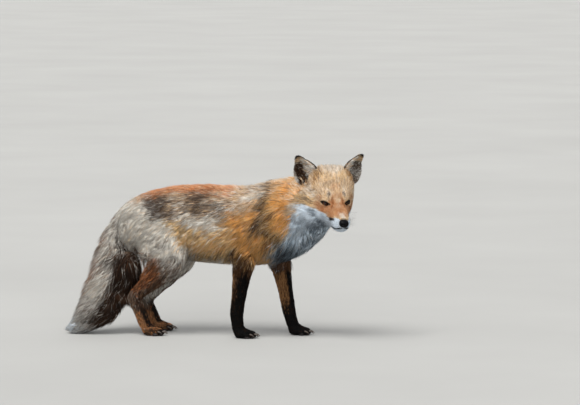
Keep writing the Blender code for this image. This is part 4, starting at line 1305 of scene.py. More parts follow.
class Hide:
    """The finished skin as numbers, for growing hair on."""

    def __init__(self, skin, outline):
        mesh = skin.data
        self.points, self.out, self.faces = places(mesh), normals(mesh), triangles(mesh)
        corners = self.points[self.faces]
        cross = np.cross(corners[:, 1] - corners[:, 0], corners[:, 2] - corners[:, 0])
        self.area = np.linalg.norm(cross, axis=1) / 2
        self.flat = unit(cross)
        self.middle = corners.mean(1)
        self.labels = label_faces(self.middle)
        self.tree = BVHTree.FromPolygons(self.points.tolist(), self.faces.tolist())
        self.deep = guided(self.points)[2]
        for k, (point, out) in enumerate(zip(self.points, self.out)):
            hit = outline.ray_cast(Vector(point), Vector(out), 0.04)
            if hit[0]:
                self.deep[k] = min(self.deep[k], max(hit[3], 0.0006))
        for centre, reach, more in LOFTS:
            far = np.linalg.norm(self.points - SHIFT - np.array(centre), axis=1)
            self.deep *= 1 + more * np.exp(-((far / reach) ** 2))


def bare(hide):
    """1 where fur grows on a face of the skin, 0 where it is bare."""
    q = world_to_head(hide.middle)
    keep = np.ones(len(q))
    on_head = hide.labels == "head"
    for hand in (1, -1):
        far, edge = eye_opening(q, hand)
        keep[on_head & (far < EYE_BARE[0]) & (edge < EYE_BARE[1])] = 0
    nose = np.linalg.norm((q - NOSE_BARE[0]) / NOSE_BARE[1], axis=1)
    keep[nose < 1.12] = 0
    lips = away_from_line(one_side(q), np.array(MOUTH))
    keep[on_head & (lips < LIPS_BARE) & (q[:, 0] > 0.02)] = 0
    keep[(hide.middle[:, 2] < SOLE_LEVEL) & (hide.flat[:, 2] < -0.5)] = 0
    for hand, name in EARS:
        root, up = ear_axes(hand)[:2]
        tall = (q - root) @ up / EAR_TALL
        keep[(hide.labels == name) & (tall < -0.11)] = 0
    return keep


def scatter(hide, chosen, count, rng):
    """Roots spread over chosen faces by area: their places, normals and faces."""
    weight = hide.area * chosen
    ends = np.cumsum(weight)
    face = np.searchsorted(ends, (np.arange(count) + rng.random(count)) / count * ends[-1])
    face = np.clip(face, 0, len(weight) - 1)
    a, b = rng.random(count), rng.random(count)
    over = a + b > 1
    a[over], b[over] = 1 - a[over], 1 - b[over]
    corner = hide.faces[face]
    share = np.stack([1 - a - b, a, b], 1)[..., None]
    return (hide.points[corner] * share).sum(1), unit((hide.out[corner] * share).sum(1)), face


def ear_lie(points, out, names):
    """Hair on an ear lies up to its tip, and inside it also across from the front edge outward."""
    q, n = world_to_head(points), out @ HEAD_AXES
    ways = np.zeros_like(q)
    for hand, name in EARS:
        root, up, facing, across = ear_axes(hand)
        front = smoothstep(0.0, 0.4, n @ facing)[:, None]
        side = ((q - root) @ across * hand / EAR_WIDE)[:, None]
        fan = up * 0.9 + across * hand * np.clip(side, -0.4, 0.4) * (1 - front)
        fan = fan * (1 - 0.45 * front) + across * hand * 0.75 * front
        ways = np.where((names == name)[:, None], fan, ways)
    return unit(ways) @ HEAD_AXES.T


def follow(hide, points):
    """The nearest place on the skin, its normal and its face."""
    find = hide.tree.find_nearest
    where, out, face = np.empty_like(points), np.empty_like(points), np.empty(len(points), int)
    for k, point in enumerate(points):
        spot, normal, index, _ = find(Vector(point))
        where[k], out[k], face[k] = spot, normal, index
    return where, out, face


CENTRE_LINES = {
    # the lines that the bake maps wind round; a pair of limbs finds its own
    "coat_face": [(-0.02, 0, -0.018), (0.085, 0, -0.026)],
    "coat_crown": [(-0.13, 0, 0.0), (-0.01, 0, -0.006)],
    "coat_tail": TAIL_LINE,
    "coat_neck": [(0.13, 0, 0.288), (0.33, -0.02, 0.345)],
    "coat_chest": [(0.03, 0, 0.28), (0.21, 0, 0.3)],
    "coat_loin": [(-0.11, 0, 0.281), (0.04, 0, 0.281)],
    "coat_rump": [(-0.27, 0, 0.268), (-0.1, 0, 0.281)],
}


def limb_line(limb):
    """The middle of a limb's roots at five levels, from the lowest up."""
    low, high = limb.min(0), limb.max(0)
    tall = high[2] - low[2]
    line = []
    for share in (0.02, 0.25, 0.5, 0.75, 0.98):
        near = limb[np.abs(limb[:, 2] - low[2] - share * tall) < 0.08 * tall + 0.002]
        line.append((near.min(0) + near.max(0)) / 2 if len(near) else (low + high) / 2)
    return np.array(line)


def bake_places(name, roots, names):
    """Each root's place on its piece's unwrap: round the limb's centre line, and along it."""
    uv = np.zeros((len(roots), 2))
    at = world_to_head(roots) if name in ("coat_face", "coat_crown") else roots - SHIFT
    if name in CENTRE_LINES:
        groups = [(np.ones(len(roots), bool), np.array(CENTRE_LINES[name], float))]
    else:
        sides = [np.array([n.endswith(hand) for n in names]) for hand in ("left", "right")]
        groups = [(chosen, limb_line(at[chosen])) for chosen in sides]
    for k, (chosen, line) in enumerate(groups):
        share, _ = along_line(at[chosen], line)
        way = unit(line[-1] - line[0])
        side = unit(np.cross(way, [0.05, 0.02, 1.0] if abs(way[2]) < 0.8 else [1.0, 0.05, 0.02]))
        apart = at[chosen] - line_places(line, share)
        turn = np.arctan2(apart @ np.cross(way, side), apart @ side) / (2 * math.pi) + 0.5
        length = share * distances(line)[-1] + apart @ way
        length = (length - length.min()) / max(np.ptp(length), 1e-6)
        uv[chosen, 0] = (k + 0.02 + 0.96 * turn) / len(groups)
        uv[chosen, 1] = 0.01 + 0.97 * length
    return uv


def gather_clumps(roots, way, count, stretch, rng):
    """Each root's clump, and the clumps' own roots."""
    main = unit(way.mean(0))
    pressed = roots - np.outer(roots @ main, main) * stretch
    picked = rng.permutation(len(roots))[:count]
    tree = KDTree(len(picked))
    for k, point in enumerate(pressed[picked]):
        tree.insert(Vector(point), k)
    tree.balance()
    return np.array([tree.find(Vector(point))[1] for point in pressed]), roots[picked]


def lock_points(line, over, widths, shares):
    """Three-sided rings with a ridge on top round each lock's line, then its tip."""
    ahead = unit(np.gradient(line, axis=1))
    points = [line[:, 0]]
    for k, share in enumerate(shares, start=1):
        e1 = unit(np.cross(over[:, k], ahead[:, k]))
        e2 = unit(np.cross(ahead[:, k], e1))
        half = (widths * share / 2)[:, None]
        for wide, tall in LOCK_SECTION:
            points.append(line[:, k] + e1 * half * wide + e2 * half * tall)
    return np.stack(points + [line[:, -1]], 1)


def lock_colours(weights, draw, muted):
    """Each lock's own hair by its draw, muted towards the mean of its zones."""
    order = draw.argsort().argsort() / len(draw)  # as many of each hair as its share says
    hair = pick_hairs(weights, order)
    mean = np.einsum("ij,jkl->ikl", weights @ HAIR_SHARES, HAIR_COLOURS)
    return HAIR_COLOURS[hair] * (1 - muted) + mean * muted


def grow(hide, name, furred):
    """One coat piece: closed three-sided locks, rooted in the skin, lying along it."""
    coat = COATS[name]
    count, ragged = coat.count, coat.ragged
    rng = np.random.default_rng(SEED + list(COATS).index(name))
    chosen = furred * np.isin(hide.labels, coat.nodes)
    ahead = world_to_head(hide.middle)[:, 0]
    if name == "coat_face":
        chosen = chosen * (ahead > FACE_BACK)
    if name == "coat_crown":
        chosen = chosen * (ahead <= FACE_BACK)
    roots, out, face = scatter(hide, chosen, count, rng)
    names = hide.labels[face]
    way, length, _ = guided(roots)
    deep = hide.deep[hide.faces[face]].mean(1)
    if name == "coat_ears":
        way = ear_lie(roots, out, names)
        front = smoothstep(0.0, 0.3, (out @ HEAD_AXES)[:, 0])
        length, deep = 0.006 + 0.006 * front, 0.0009 + 0.0022 * front
    way = unit(way - out * (way * out).sum(1, keepdims=True))
    across = np.cross(out, way)

    # clumps: each lock leans to its clump's own way and tip
    clumps = max(1, int(chosen @ hide.area / coat.clump**2))
    clump, clump_roots = gather_clumps(roots, way, clumps, coat.stretch, rng)
    clump_lean = rng.normal(size=len(clump_roots)) * CLUMP_LEAN * ragged
    clump_rise = rng.uniform(*CLUMP_RISE, len(clump_roots))
    clump_tone = rng.random(len(clump_roots))
    lean = WAVE_LEAN * ragged * waves(roots, 0.045, 21) + clump_lean[clump]
    lean = lean + rng.normal(size=count) * LOCK_LEAN * ragged
    way = way * np.cos(lean)[:, None] + across * np.sin(lean)[:, None]
    length = length * rng.uniform(*LENGTHS, count)
    rise = (0.7 + 0.4 * rng.random(count)) * clump_rise[clump]
    length = np.where(rng.random(count) < 0.03 * ragged, length * 1.12, length)

    wrap = rng.uniform(*WRAPS, count)[:, None]
    line, norms = [roots - out * ROOT_DEPTH], [out]
    bend = rng.normal(size=count) * 0.1 * ragged
    pull = clump_roots[clump] - roots
    pull -= way * (0.85 * (pull * way).sum(1, keepdims=True))
    for t in LOCK_STEPS[1][1:]:
        side = np.cross(out, way) * (bend * t * t * length)[:, None]
        straight = roots + way * (length * t)[:, None] + side + pull * (coat.hold * t**1.5)
        spot, normal, hit = follow(hide, straight)
        under = hide.deep[hide.faces[hit]].mean(1) if name != "coat_ears" else deep
        high = (0.5 * deep + 0.5 * under) * rise * (1 - (1 - t) ** 2.0)
        free = straight + out * (deep * rise * (1 - (1 - t) ** 2.0))[:, None]
        hug = spot + normal * high[:, None]
        point = free + (hug - free) * wrap
        point[:, 2] = np.maximum(point[:, 2], FLOOR_GAP)
        line.append(point)
        norms.append(unit(out * (1 - wrap) + normal * wrap))
    thick = coat.width * rng.uniform(*WIDTHS, count)
    points = lock_points(np.stack(line, 1), np.stack(norms, 1), thick, (1.0,))
    points[..., 2] = np.maximum(points[..., 2], FLOOR_GAP)

    # colours
    shown = coat.shown + rng.uniform(-0.15, 0.3, count)
    drift = (rng.uniform(-1, 1, len(clump_roots)) * coat.drift)[clump]
    weights = Markings(roots + way * (length * shown + drift)[:, None], names, out).lay_all()
    draw = CLUMP_TONE * (clump_tone[clump] - 0.5) + rng.normal(size=count) * LOCK_TONE
    tone = np.exp(BRIGHTNESS * (rng.normal(size=(count, 1)) + waves(roots, 0.03, 31)[:, None]))
    own = lock_colours(weights, draw, coat.muted) * tone[:, None] * coat.shade
    # painted shade and light along each lock: its root is the under fur made darker, as shade deep in the
    # coat, and its tip is made lighter
    ring = own[:, 0] * 0.55 + own[:, 1] * 0.45
    colour = np.stack([under_colours(weights) * 0.85, ring, ring, ring, own[:, 2] * 1.08], 1)
    return locks_mesh(name, points, np.clip(colour, 0, 1), bake_places(name, roots, names), rng)


def lock_faces(rings):
    """The triangles of one lock, facing out."""
    faces = [(0, 1 + (k + 1) % 3, 1 + k) for k in range(3)]
    for ring in range(rings - 1):
        low, high = 1 + 3 * ring, 4 + 3 * ring
        for k in range(3):
            n = (k + 1) % 3
            faces += [(low + k, low + n, high + n), (low + k, high + n, high + k)]
    last = 1 + 3 * (rings - 1)
    faces += [(last + k, last + (k + 1) % 3, 1 + 3 * rings) for k in range(3)]
    return np.array(faces)


def locks_mesh(name, points, colour, patches, rng):
    """A mesh of many locks, with its colours, its bake map and a map along and round each lock."""
    count, each = points.shape[:2]
    rings = (each - 2) // 3
    one = lock_faces(rings)
    faces = (one[None] + (np.arange(count) * each)[:, None, None]).reshape(-1)
    mesh = bpy.data.meshes.new(name)
    mesh.vertices.add(count * each)
    mesh.vertices.foreach_set("co", points.astype(np.float32).ravel())
    mesh.loops.add(len(faces))
    mesh.loops.foreach_set("vertex_index", faces.astype(np.int32))
    total = len(faces) // 3
    mesh.polygons.add(total)
    mesh.polygons.foreach_set("loop_start", np.arange(0, total * 3, 3, dtype=np.int32))
    mesh.update(calc_edges=True)
    steps = np.array(LOCK_STEPS[rings])
    along = np.concatenate([[0], np.repeat(steps[1:-1], 3), [1]])
    round_it = np.concatenate([[0.5], np.tile([0.05, 0.5, 0.95], rings), [0.5]])
    local = np.stack([round_it - 0.5, along - 0.5], 1) * PATCH
    bake = (patches[:, None] + local[None]).reshape(-1, 2)
    own = np.stack([np.broadcast_to(round_it, (count, each)) + rng.random((count, 1)) * 8,
                    np.broadcast_to(along, (count, each)) + rng.random((count, 1)) * 8], 2).reshape(-1, 2)
    for map_name, values in (("OFBake", bake), ("Strand", own)):
        layer = mesh.uv_layers.new(name=map_name)
        layer.uv.foreach_set("vector", np.clip(values, 0, None)[faces].astype(np.float32).ravel())
    mesh.uv_layers.active = mesh.uv_layers["OFBake"]
    keep_colours(mesh, colour.reshape(-1, 3))
    mesh.validate()
    return link(name, mesh)


# ---- Long hairs in the ears ----


TUFTS = 330  # to each ear


def ear_tufts():
    """Long pale hairs that fan from the ear's front edge and its base across the hollow."""
    rng = np.random.default_rng(SEED + 40)
    lines, widths = [], []
    for hand in (1, -1):
        _, up, facing, across = ear_axes(hand)
        grid = ear_grid(hand)
        rows, columns = grid.shape[:2]
        for _ in range(TUFTS):
            v = rng.uniform(0.12, 0.8)
            u = rng.beta(1.1, 2.4) * 0.5
            row = int((EAR_SUNK + v) / (1 + EAR_SUNK) * (rows - 1))
            column = int(((1 - u) if hand < 0 else u) * (columns - 1))
            start = grid[row, column]
            long = rng.uniform(0.012, 0.023) * (1.0 - 0.45 * v)
            way = across * hand * rng.uniform(0.45, 0.85) + up * rng.uniform(0.35, 0.95)
            way = unit(way + facing * rng.uniform(0.05, 0.25))
            steps = np.array(LOCK_STEPS[2])[:, None]
            line = start + facing * 0.0014 + way * long * steps - facing * (0.1 * long) * steps**2
            lines.append(line)
            widths.append(rng.uniform(0.0008, 0.0015))
    return np.array(lines), np.array(widths), rng


def make_ear_tufts():
    lines, widths, rng = ear_tufts()
    count = len(lines)
    world = head_to_world(lines.reshape(-1, 3)).reshape(lines.shape)
    over = np.broadcast_to(np.array([0.9, 0, 0.1]) @ HEAD_AXES.T, world.shape)
    points = lock_points(world, over, widths, (1.0, 0.8))
    light = np.array([HAIR_COLOURS[list(HAIRS).index(n)] for n in ("cream", "tan", "grey")])
    hair = light[rng.choice(3, count, p=[0.34, 0.3, 0.36])] * 0.85
    # each hair's root is made darker: painted shade where it leaves the ear
    shades = [hair[:, 0] * 0.7] + [hair[:, 0]] * 3 + [hair[:, 1]] * 3 + [hair[:, 2]]
    place = np.stack([np.linspace(0.02, 0.97, count), rng.uniform(0.02, 0.97, count)], 1)
    return locks_mesh("ear_hairs", points, np.stack(shades, 1), place, rng)


# ---- Materials ----


class Graph:
    """A node tree: an input given as a socket is joined, and any other is set."""

    def __init__(self, tree):
        self.tree = tree

    def feed(self, target, source):
        if isinstance(source, bpy.types.NodeSocket):
            self.tree.links.new(source, target)
        else:
            target.default_value = source

    def add(self, kind, inputs=None, **values):
        node = self.tree.nodes.new(kind)
        for key, value in values.items():
            setattr(node, key, value)
        for key, source in (inputs or {}).items():
            self.feed(node.inputs[key], source)
        return node

    def calculate(self, operation, *numbers):
        return self.add("ShaderNodeMath", dict(enumerate(numbers)), operation=operation).outputs[0]

    def spread(self, value, low, high, to_low=0.0, to_high=1.0):
        """A number carried from one span to another."""
        ends = {"From Min": low, "From Max": high, "To Min": to_low, "To Max": to_high}
        return self.add("ShaderNodeMapRange", {"Value": value, **ends}).outputs["Result"]


class Paint(Graph):
    """A procedural material."""

    def __init__(self, name, roughness, specular, coat=0.0, coat_roughness=0.03):
        self.made = bpy.data.materials.new(name)
        self.made.use_nodes = True
        super().__init__(self.made.node_tree)
        self.shader = self.tree.nodes["Principled BSDF"]
        for key, value in (
            ("Roughness", roughness), ("Specular IOR Level", specular), ("Metallic", 0.0),
            ("Coat Weight", coat), ("Coat Roughness", coat_roughness),
        ):
            self.shader.inputs[key].default_value = value

    def attribute(self, name, output="Color"):
        return self.add("ShaderNodeAttribute", attribute_name=name).outputs[output]

    def noise(self, scale, detail=3.0, coordinates=None, stretch=None):
        source = coordinates or self.add("ShaderNodeTexCoord").outputs["Object"]
        if stretch:
            source = self.add("ShaderNodeMapping", {"Vector": source, "Scale": stretch}).outputs["Vector"]
        inputs = {"Vector": source, "Scale": scale, "Detail": detail, "Roughness": 0.55}
        return self.add("ShaderNodeTexNoise", inputs).outputs["Fac"]

    def shade(self, colour, amount):
        """A colour made lighter or darker by a number."""
        inputs = {"Factor": 1.0, "A": colour, "B": amount}
        return self.add("ShaderNodeMix", inputs, data_type="RGBA", blend_type="MULTIPLY").outputs["Result"]

    def ramp(self, value, *stops):
        node = self.add("ShaderNodeValToRGB", {"Fac": value})
        ramp = node.color_ramp
        while len(ramp.elements) < len(stops):
            ramp.elements.new(0.5)
        for element, (at, colour) in zip(ramp.elements, stops):
            element.position = at
            element.color = (*linear(colour), 1.0)
        return node.outputs["Color"]

    def bump(self, height, distance, strength):
        inputs = {"Strength": strength, "Distance": distance, "Height": height}
        self.feed(self.shader.inputs["Normal"], self.add("ShaderNodeBump", inputs).outputs["Normal"])

    def colour(self, source):
        self.feed(self.shader.inputs["Base Color"], source)




def coat_paint():
    paint = Paint("fox_coat", 0.6, 0.08)
    strands = paint.add("ShaderNodeUVMap", uv_map="Strand").outputs["UV"]
    streak = paint.noise(2.0, 2.0, strands, (9.0, 0.8, 1.0))
    paint.colour(paint.shade(paint.attribute("coat_colour"), paint.spread(streak, 0.3, 0.7, 0.78, 1.18)))
    paint.bump(streak, 0.0004, 0.35)
    return paint.made


def skin_paint():
    paint = Paint("fox_under_fur", 0.8, 0.1)
    fine = paint.noise(900.0, stretch=(0.35, 1.0, 1.0))
    paint.colour(paint.shade(paint.attribute("coat_colour"), paint.spread(fine, 0.3, 0.7, 0.7, 1.15)))
    paint.bump(fine, 0.001, 0.6)
    return paint.made


def nose_paint():
    paint = Paint("nose_leather", 0.42, 0.05, coat=0.06, coat_roughness=0.18)
    place = paint.add("ShaderNodeTexCoord").outputs["Object"]
    cells = paint.add("ShaderNodeTexVoronoi", {"Scale": 900.0, "Vector": place}).outputs["Distance"]
    paint.colour(paint.ramp(paint.noise(180.0), (0.3, (3, 3, 5)), (0.7, (8, 8, 11))))
    paint.bump(paint.spread(cells, 0.0, 0.6, 1.0, 0.0), 0.0003, 0.5)
    return paint.made


def rim_paint():
    paint = Paint("eye_rim", 0.65, 0.06)
    paint.colour(paint.ramp(paint.noise(500.0), (0.3, (5, 4, 4)), (0.7, (12, 10, 9))))
    return paint.made


def claw_paint():
    paint = Paint("claw_horn", 0.38, 0.4)
    grain = paint.noise(60.0, stretch=(1.0, 6.0, 6.0))
    paint.colour(paint.ramp(grain, (0.3, (34, 28, 25)), (0.75, (74, 62, 52))))
    paint.bump(grain, 0.0002, 0.3)
    return paint.made


def pad_paint():
    paint = Paint("paw_pad", 0.6, 0.3)
    grain = paint.noise(400.0, 4.0)
    paint.colour(paint.ramp(grain, (0.3, (24, 21, 21)), (0.7, (48, 42, 41))))
    paint.bump(grain, 0.0005, 0.6)
    return paint.made


def whisker_paint():
    paint = Paint("whisker_hair", 0.4, 0.4)
    paint.colour(paint.ramp(paint.noise(120.0), (0.3, (14, 12, 12)), (0.7, (40, 34, 32))))
    return paint.made


IRIS = (0.0071, 0.0071)  # half its width and height
PUPIL = (0.0016, 0.0042)
PUPIL_COLOUR = (0.004, 0.003, 0.003, 1)


def eye_paint():
    """Iris, slit pupil and dark rim, painted by the eye's own places: across, up and towards the look."""
    paint = Paint("eye_amber", 0.1, 0.1, coat=0.24, coat_roughness=0.02)
    here = paint.attribute("eye_place", "Vector")
    split = paint.add("ShaderNodeSeparateXYZ", {"Vector": here}).outputs

    def squares(half):
        """The square of the distance from the middle, 1 at the edge of an ellipse."""
        shares = [paint.calculate("DIVIDE", split[key], size) for key, size in zip("XY", half)]
        return paint.calculate("ADD", *(
            paint.calculate("POWER", paint.calculate("ABSOLUTE", share), 2.0) for share in shares))

    iris = paint.ramp(
        squares(IRIS), (0.05, (42, 20, 7)), (0.36, (82, 42, 13)), (0.66, (30, 15, 7)), (0.84, (7, 5, 4)),
        (1.0, (3, 3, 3)))
    iris = paint.shade(iris, paint.spread(paint.noise(900.0, coordinates=here), 0.3, 0.7, 0.75, 1.2))
    slit = paint.spread(squares(PUPIL), 0.85, 1.15)
    dark = paint.add("ShaderNodeMix", {"Factor": slit, "A": PUPIL_COLOUR, "B": iris}, data_type="RGBA")
    paint.colour(dark.outputs["Result"])
    return paint.made


# ---- Eyes, nose, claws, pads and whiskers ----


def finish_piece(thing, paint, slot, *nodes):
    """Gives a piece its paint and smooth shading, and says what it is part of and replaces."""
    thing.data.materials.clear()
    thing.data.materials.append(paint)
    thing.data.polygons.foreach_set("use_smooth", np.ones(len(thing.data.polygons), bool))
    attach(thing, "root")
    if nodes:
        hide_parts(*nodes)
    return thing


CORNEA, CORNEA_REACH = 0.0009, 0.75  # its height over the ball, and the angle that it spans


def make_eye(hand, paint):
    """The ball of the eye, with the cornea's swell where it looks."""
    side = "left" if hand > 0 else "right"
    mesh = ball_mesh((0, 0, 0), (1, 1, 1), 72, 48)
    look = gaze(hand)[0]
    way = unit(places(mesh))
    toward = way @ look
    radius = (EYE_RADIUS - 0.0001) + CORNEA * smoothstep(math.cos(CORNEA_REACH), 1.0, toward)
    points = way * radius[:, None]
    level = unit(np.array([0, 0, 1.0]) - look * look[2])
    beside = np.cross(look, level)
    local = np.stack([points @ beside, points @ level, points @ look], 1)
    keep_numbers(mesh, "eye_place", local)
    set_places(mesh, head_to_world(points + [0, hand * EYE_ASIDE, 0]))
    return finish_piece(link(f"eye_ball_{side}", mesh), paint, "eye", f"eye_{side}")


CORNER_THICK = 0.0015
CORNER_ENDS = [
    # where each dark corner of the eye runs out to
    (-1, (0.0186, 0.0178, 0.001)),
    (1, (-0.009, 0.0402, 0.0046)),
]


def corner_mesh(hide, hand, way, end):
    """A dark tapering line over the skin from a corner of the lids."""
    start = way * (EYE_RADIUS + 0.0004) + np.array([0, hand * EYE_ASIDE, 0])
    t = np.linspace(0, 1, 12)[:, None]
    line = head_to_world(start + (np.array(end) * [1, hand, 1] - start) * t)
    spot, normal, _ = follow(hide, line)
    line = line * (1 - t) ** 2 + (spot + normal * 0.0003) * (1 - (1 - t) ** 2)
    return tube_mesh("corner", tube_along(line, CORNER_THICK * (1 - t[:, 0]) ** 0.7 + 0.0003, 10))


RIM_STEPS, RIM_SIDES = 96, 10
RIM_THICK, RIM_UPPER, RIM_INNER = 0.0013, 0.0009, 0.0004  # and what the upper lid and inner corner add


def make_eye_rims(paint, hide):
    """Dark lid edges round each almond, with both corners drawn out over the skin."""
    meshes = []
    for hand in (1, -1):
        look, outward, upward = gaze(hand)
        turn = np.linspace(0, 2 * math.pi, RIM_STEPS, endpoint=False)
        c, s = np.cos(turn), np.sin(turn)
        wide = EYE_HALF_WIDE * np.sign(c) * np.abs(c) ** (2 / 1.5) * 1.02
        tall = np.where(s > 0, EYE_HALF_UP, EYE_HALF_DOWN) * s
        way = unit(look + outward * np.tan(wide)[:, None] + upward * np.tan(tall)[:, None])
        line = way * (EYE_RADIUS + 0.0005) + np.array([0, hand * EYE_ASIDE, 0])
        radii = RIM_THICK + RIM_UPPER * np.clip(s, 0, 1) + RIM_INNER * smoothstep(0.6, 1.0, -c)
        rings = tube_along(line, radii, RIM_SIDES, closed=True)
        faces = grid_faces(RIM_STEPS + 1, RIM_SIDES, True) % (RIM_STEPS * RIM_SIDES)
        meshes.append(mesh_of("rim", head_to_world(rings.reshape(-1, 3)), faces))
        for side, end in CORNER_ENDS:
            corner = unit(look + outward * side * math.tan(EYE_HALF_WIDE))
            meshes.append(corner_mesh(hide, hand, corner, end))
    mesh = join("eye_rims", meshes)
    return finish_piece(link("eye_rims", mesh), paint, "dark_coat")


NOSE_CENTRE = (0.0765, 0.0, -0.023)
NOSE_RADII = (0.0105, 0.0118, 0.0092)
NOSE_POWER = 2.6  # 2 is an ellipsoid, and more is boxier
NOSTRIL, NOSTRIL_DEPTH = 0.0024, 0.0046  # reach and depth of the hole
SLIT, SLIT_DEPTH = 0.001, 0.0016  # and of its comma's tail
GROOVE, GROOVE_DEPTH = 0.0006, 0.001  # and of the groove down the middle


def make_nose(paint):
    """The bare pad: blunt in front, with comma-shaped nostrils and the groove between them."""
    mesh = ball_mesh((0, 0, 0), (1, 1, 1), 128, 96)
    way = unit(places(mesh))
    shape = way / ((np.abs(way) ** NOSE_POWER).sum(1) ** (1 / NOSE_POWER))[:, None]
    points = shape * NOSE_RADII
    points[:, 2] -= 0.0012 * np.clip(shape[:, 0], 0, 1) * (1 - np.abs(shape[:, 1]))
    for hand in (1, -1):
        hole = np.array([0.0086, hand * 0.005, -0.0004])
        comma = [hole, (0.0062, hand * 0.0088, -0.0022), (0.002, hand * 0.0112, -0.003)]
        inward = unit(np.array([0.9, hand * 0.35, 0.1]))
        far = np.linalg.norm(points - hole, axis=1)
        points -= NOSTRIL_DEPTH * np.exp(-((far / NOSTRIL) ** 2))[:, None] * inward
        inward = unit(np.array([0.5, hand * 0.85, 0.0]))
        far = away_from_line(points, comma)
        points -= SLIT_DEPTH * np.exp(-((far / SLIT) ** 2))[:, None] * inward
    middle = np.exp(-((points[:, 1] / GROOVE) ** 2)) * smoothstep(0.3, 0.8, shape[:, 0])
    points[:, 0] -= GROOVE_DEPTH * middle * (points[:, 2] < 0.003)
    set_places(mesh, head_to_world(points + np.array(NOSE_CENTRE)))
    return finish_piece(link("nose_pad", mesh), paint, "nose_skin", "nose")


CLAW_LONG, CLAW_THICK = 0.0125, 0.0019


def make_claws(paint):
    """Blunt curved claws, one to a toe."""
    meshes = []
    for name in LEGS:
        sole, width = foot_of(name)
        for aside, ahead in TOES:
            root = sole + [PAW_LENGTH * (ahead + 0.165), width * aside, 0.0112]
            t = np.linspace(0, 1, 12)
            line = root + np.stack([CLAW_LONG * t, 0 * t, 0.0008 * t - 0.0072 * t**2], 1)
            radii = CLAW_THICK * (1 - t**1.6) ** 0.8 + 0.0003
            meshes.append(tube_mesh("claw", tube_along(line, radii, 12)))
    mesh = join("claws", meshes)
    return finish_piece(link("claws", mesh), paint, "nose_skin")


TOE_PAD, HEEL_PAD = (0.0075, 0.0042), (0.0105, 0.0125)  # half their lengths and widths
PAD_LEVEL, PAD_HALF = 0.0042, 0.0058  # the middle of a pad over the floor, and half its height


def make_pads(paint):
    """The bare pads under each foot, flat on the floor."""
    meshes = []
    for name in LEGS:
        sole, width = foot_of(name)
        rows = [((PAW_LENGTH * (ahead + 0.02), width * aside), TOE_PAD) for aside, ahead in TOES]
        rows.append(((-0.004, 0.0), HEEL_PAD))
        for (x, y), (long, wide) in rows:
            mesh = ball_mesh(sole + [x, y, PAD_LEVEL], (long, wide, PAD_HALF))
            points = places(mesh)
            points[:, 2] = np.maximum(points[:, 2], 0.0)
            set_places(mesh, points)
            meshes.append(mesh)
    mesh = join("paw_pads", meshes)
    return finish_piece(link("paw_pads", mesh), paint, "nose_skin")


def whisker_tree():
    """Geometry nodes: a tapered, drooping hair on each point, along its aim and as long as its reach."""
    tree = bpy.data.node_groups.new("whisker_set", "GeometryNodeTree")
    face = tree.interface
    face.new_socket("Roots", in_out="INPUT", socket_type="NodeSocketGeometry")
    for label in ("Thickness", "Droop"):
        face.new_socket(label, in_out="INPUT", socket_type="NodeSocketFloat")
    face.new_socket("Material", in_out="INPUT", socket_type="NodeSocketMaterial")
    face.new_socket("Whiskers", in_out="OUTPUT", socket_type="NodeSocketGeometry")
    graph = Graph(tree)
    add = graph.add
    start, end = add("NodeGroupInput").outputs, add("NodeGroupOutput").inputs
    hair = add("GeometryNodeCurvePrimitiveLine", {"End": (0, 0, 1)}).outputs["Curve"]
    fine = add("GeometryNodeResampleCurve", {"Curve": hair, "Count": 9}).outputs["Curve"]
    share = add("GeometryNodeSplineParameter").outputs["Factor"]
    droop = graph.calculate("MULTIPLY", graph.calculate("POWER", share, 2.0), start["Droop"])
    offset = add("ShaderNodeCombineXYZ", {"X": droop}).outputs["Vector"]
    bent = add("GeometryNodeSetPosition", {"Geometry": fine, "Offset": offset}).outputs["Geometry"]
    sizes = {"Resolution": 6, "Radius": start["Thickness"]}
    ring = add("GeometryNodeCurvePrimitiveCircle", sizes).outputs["Curve"]
    parts = {"Curve": bent, "Profile Curve": ring, "Scale": graph.spread(share, 0.0, 1.0, 1.0, 0.12)}
    body = add("GeometryNodeCurveToMesh", {**parts, "Fill Caps": True}).outputs["Mesh"]
    aim, reach = (
        add("GeometryNodeInputNamedAttribute", {"Name": name}, data_type=kind).outputs["Attribute"]
        for name, kind in (("aim", "FLOAT_VECTOR"), ("reach", "FLOAT")))
    turn = add("FunctionNodeAlignRotationToVector", {"Vector": aim}, axis="Z").outputs["Rotation"]
    scale = add("ShaderNodeCombineXYZ", {"X": 1.0, "Y": 1.0, "Z": reach}).outputs["Vector"]
    places_on = {"Points": start["Roots"], "Instance": body, "Rotation": turn, "Scale": scale}
    sown = add("GeometryNodeInstanceOnPoints", places_on).outputs["Instances"]
    real = add("GeometryNodeRealizeInstances", {"Geometry": sown}).outputs["Geometry"]
    dressed = add("GeometryNodeSetMaterial", {"Geometry": real, "Material": start["Material"]})
    graph.feed(end["Whiskers"], dressed.outputs["Geometry"])
    return tree


def run_tree(thing, tree, **values):
    """Runs a geometry tree on a piece and keeps its result as a plain mesh."""
    step = thing.modifiers.new("grow", "NODES")
    step.node_group = tree
    for item in tree.interface.items_tree:
        if item.in_out == "INPUT" and item.name in values:
            step[item.identifier] = values[item.name]
    return apply_modifiers(thing)


WHISKER_ROWS, WHISKERS_IN_ROW = (-0.0225, -0.027, -0.0315, -0.0355), 5
WHISKER_THICK, WHISKER_DROOP = 0.0002, 0.006


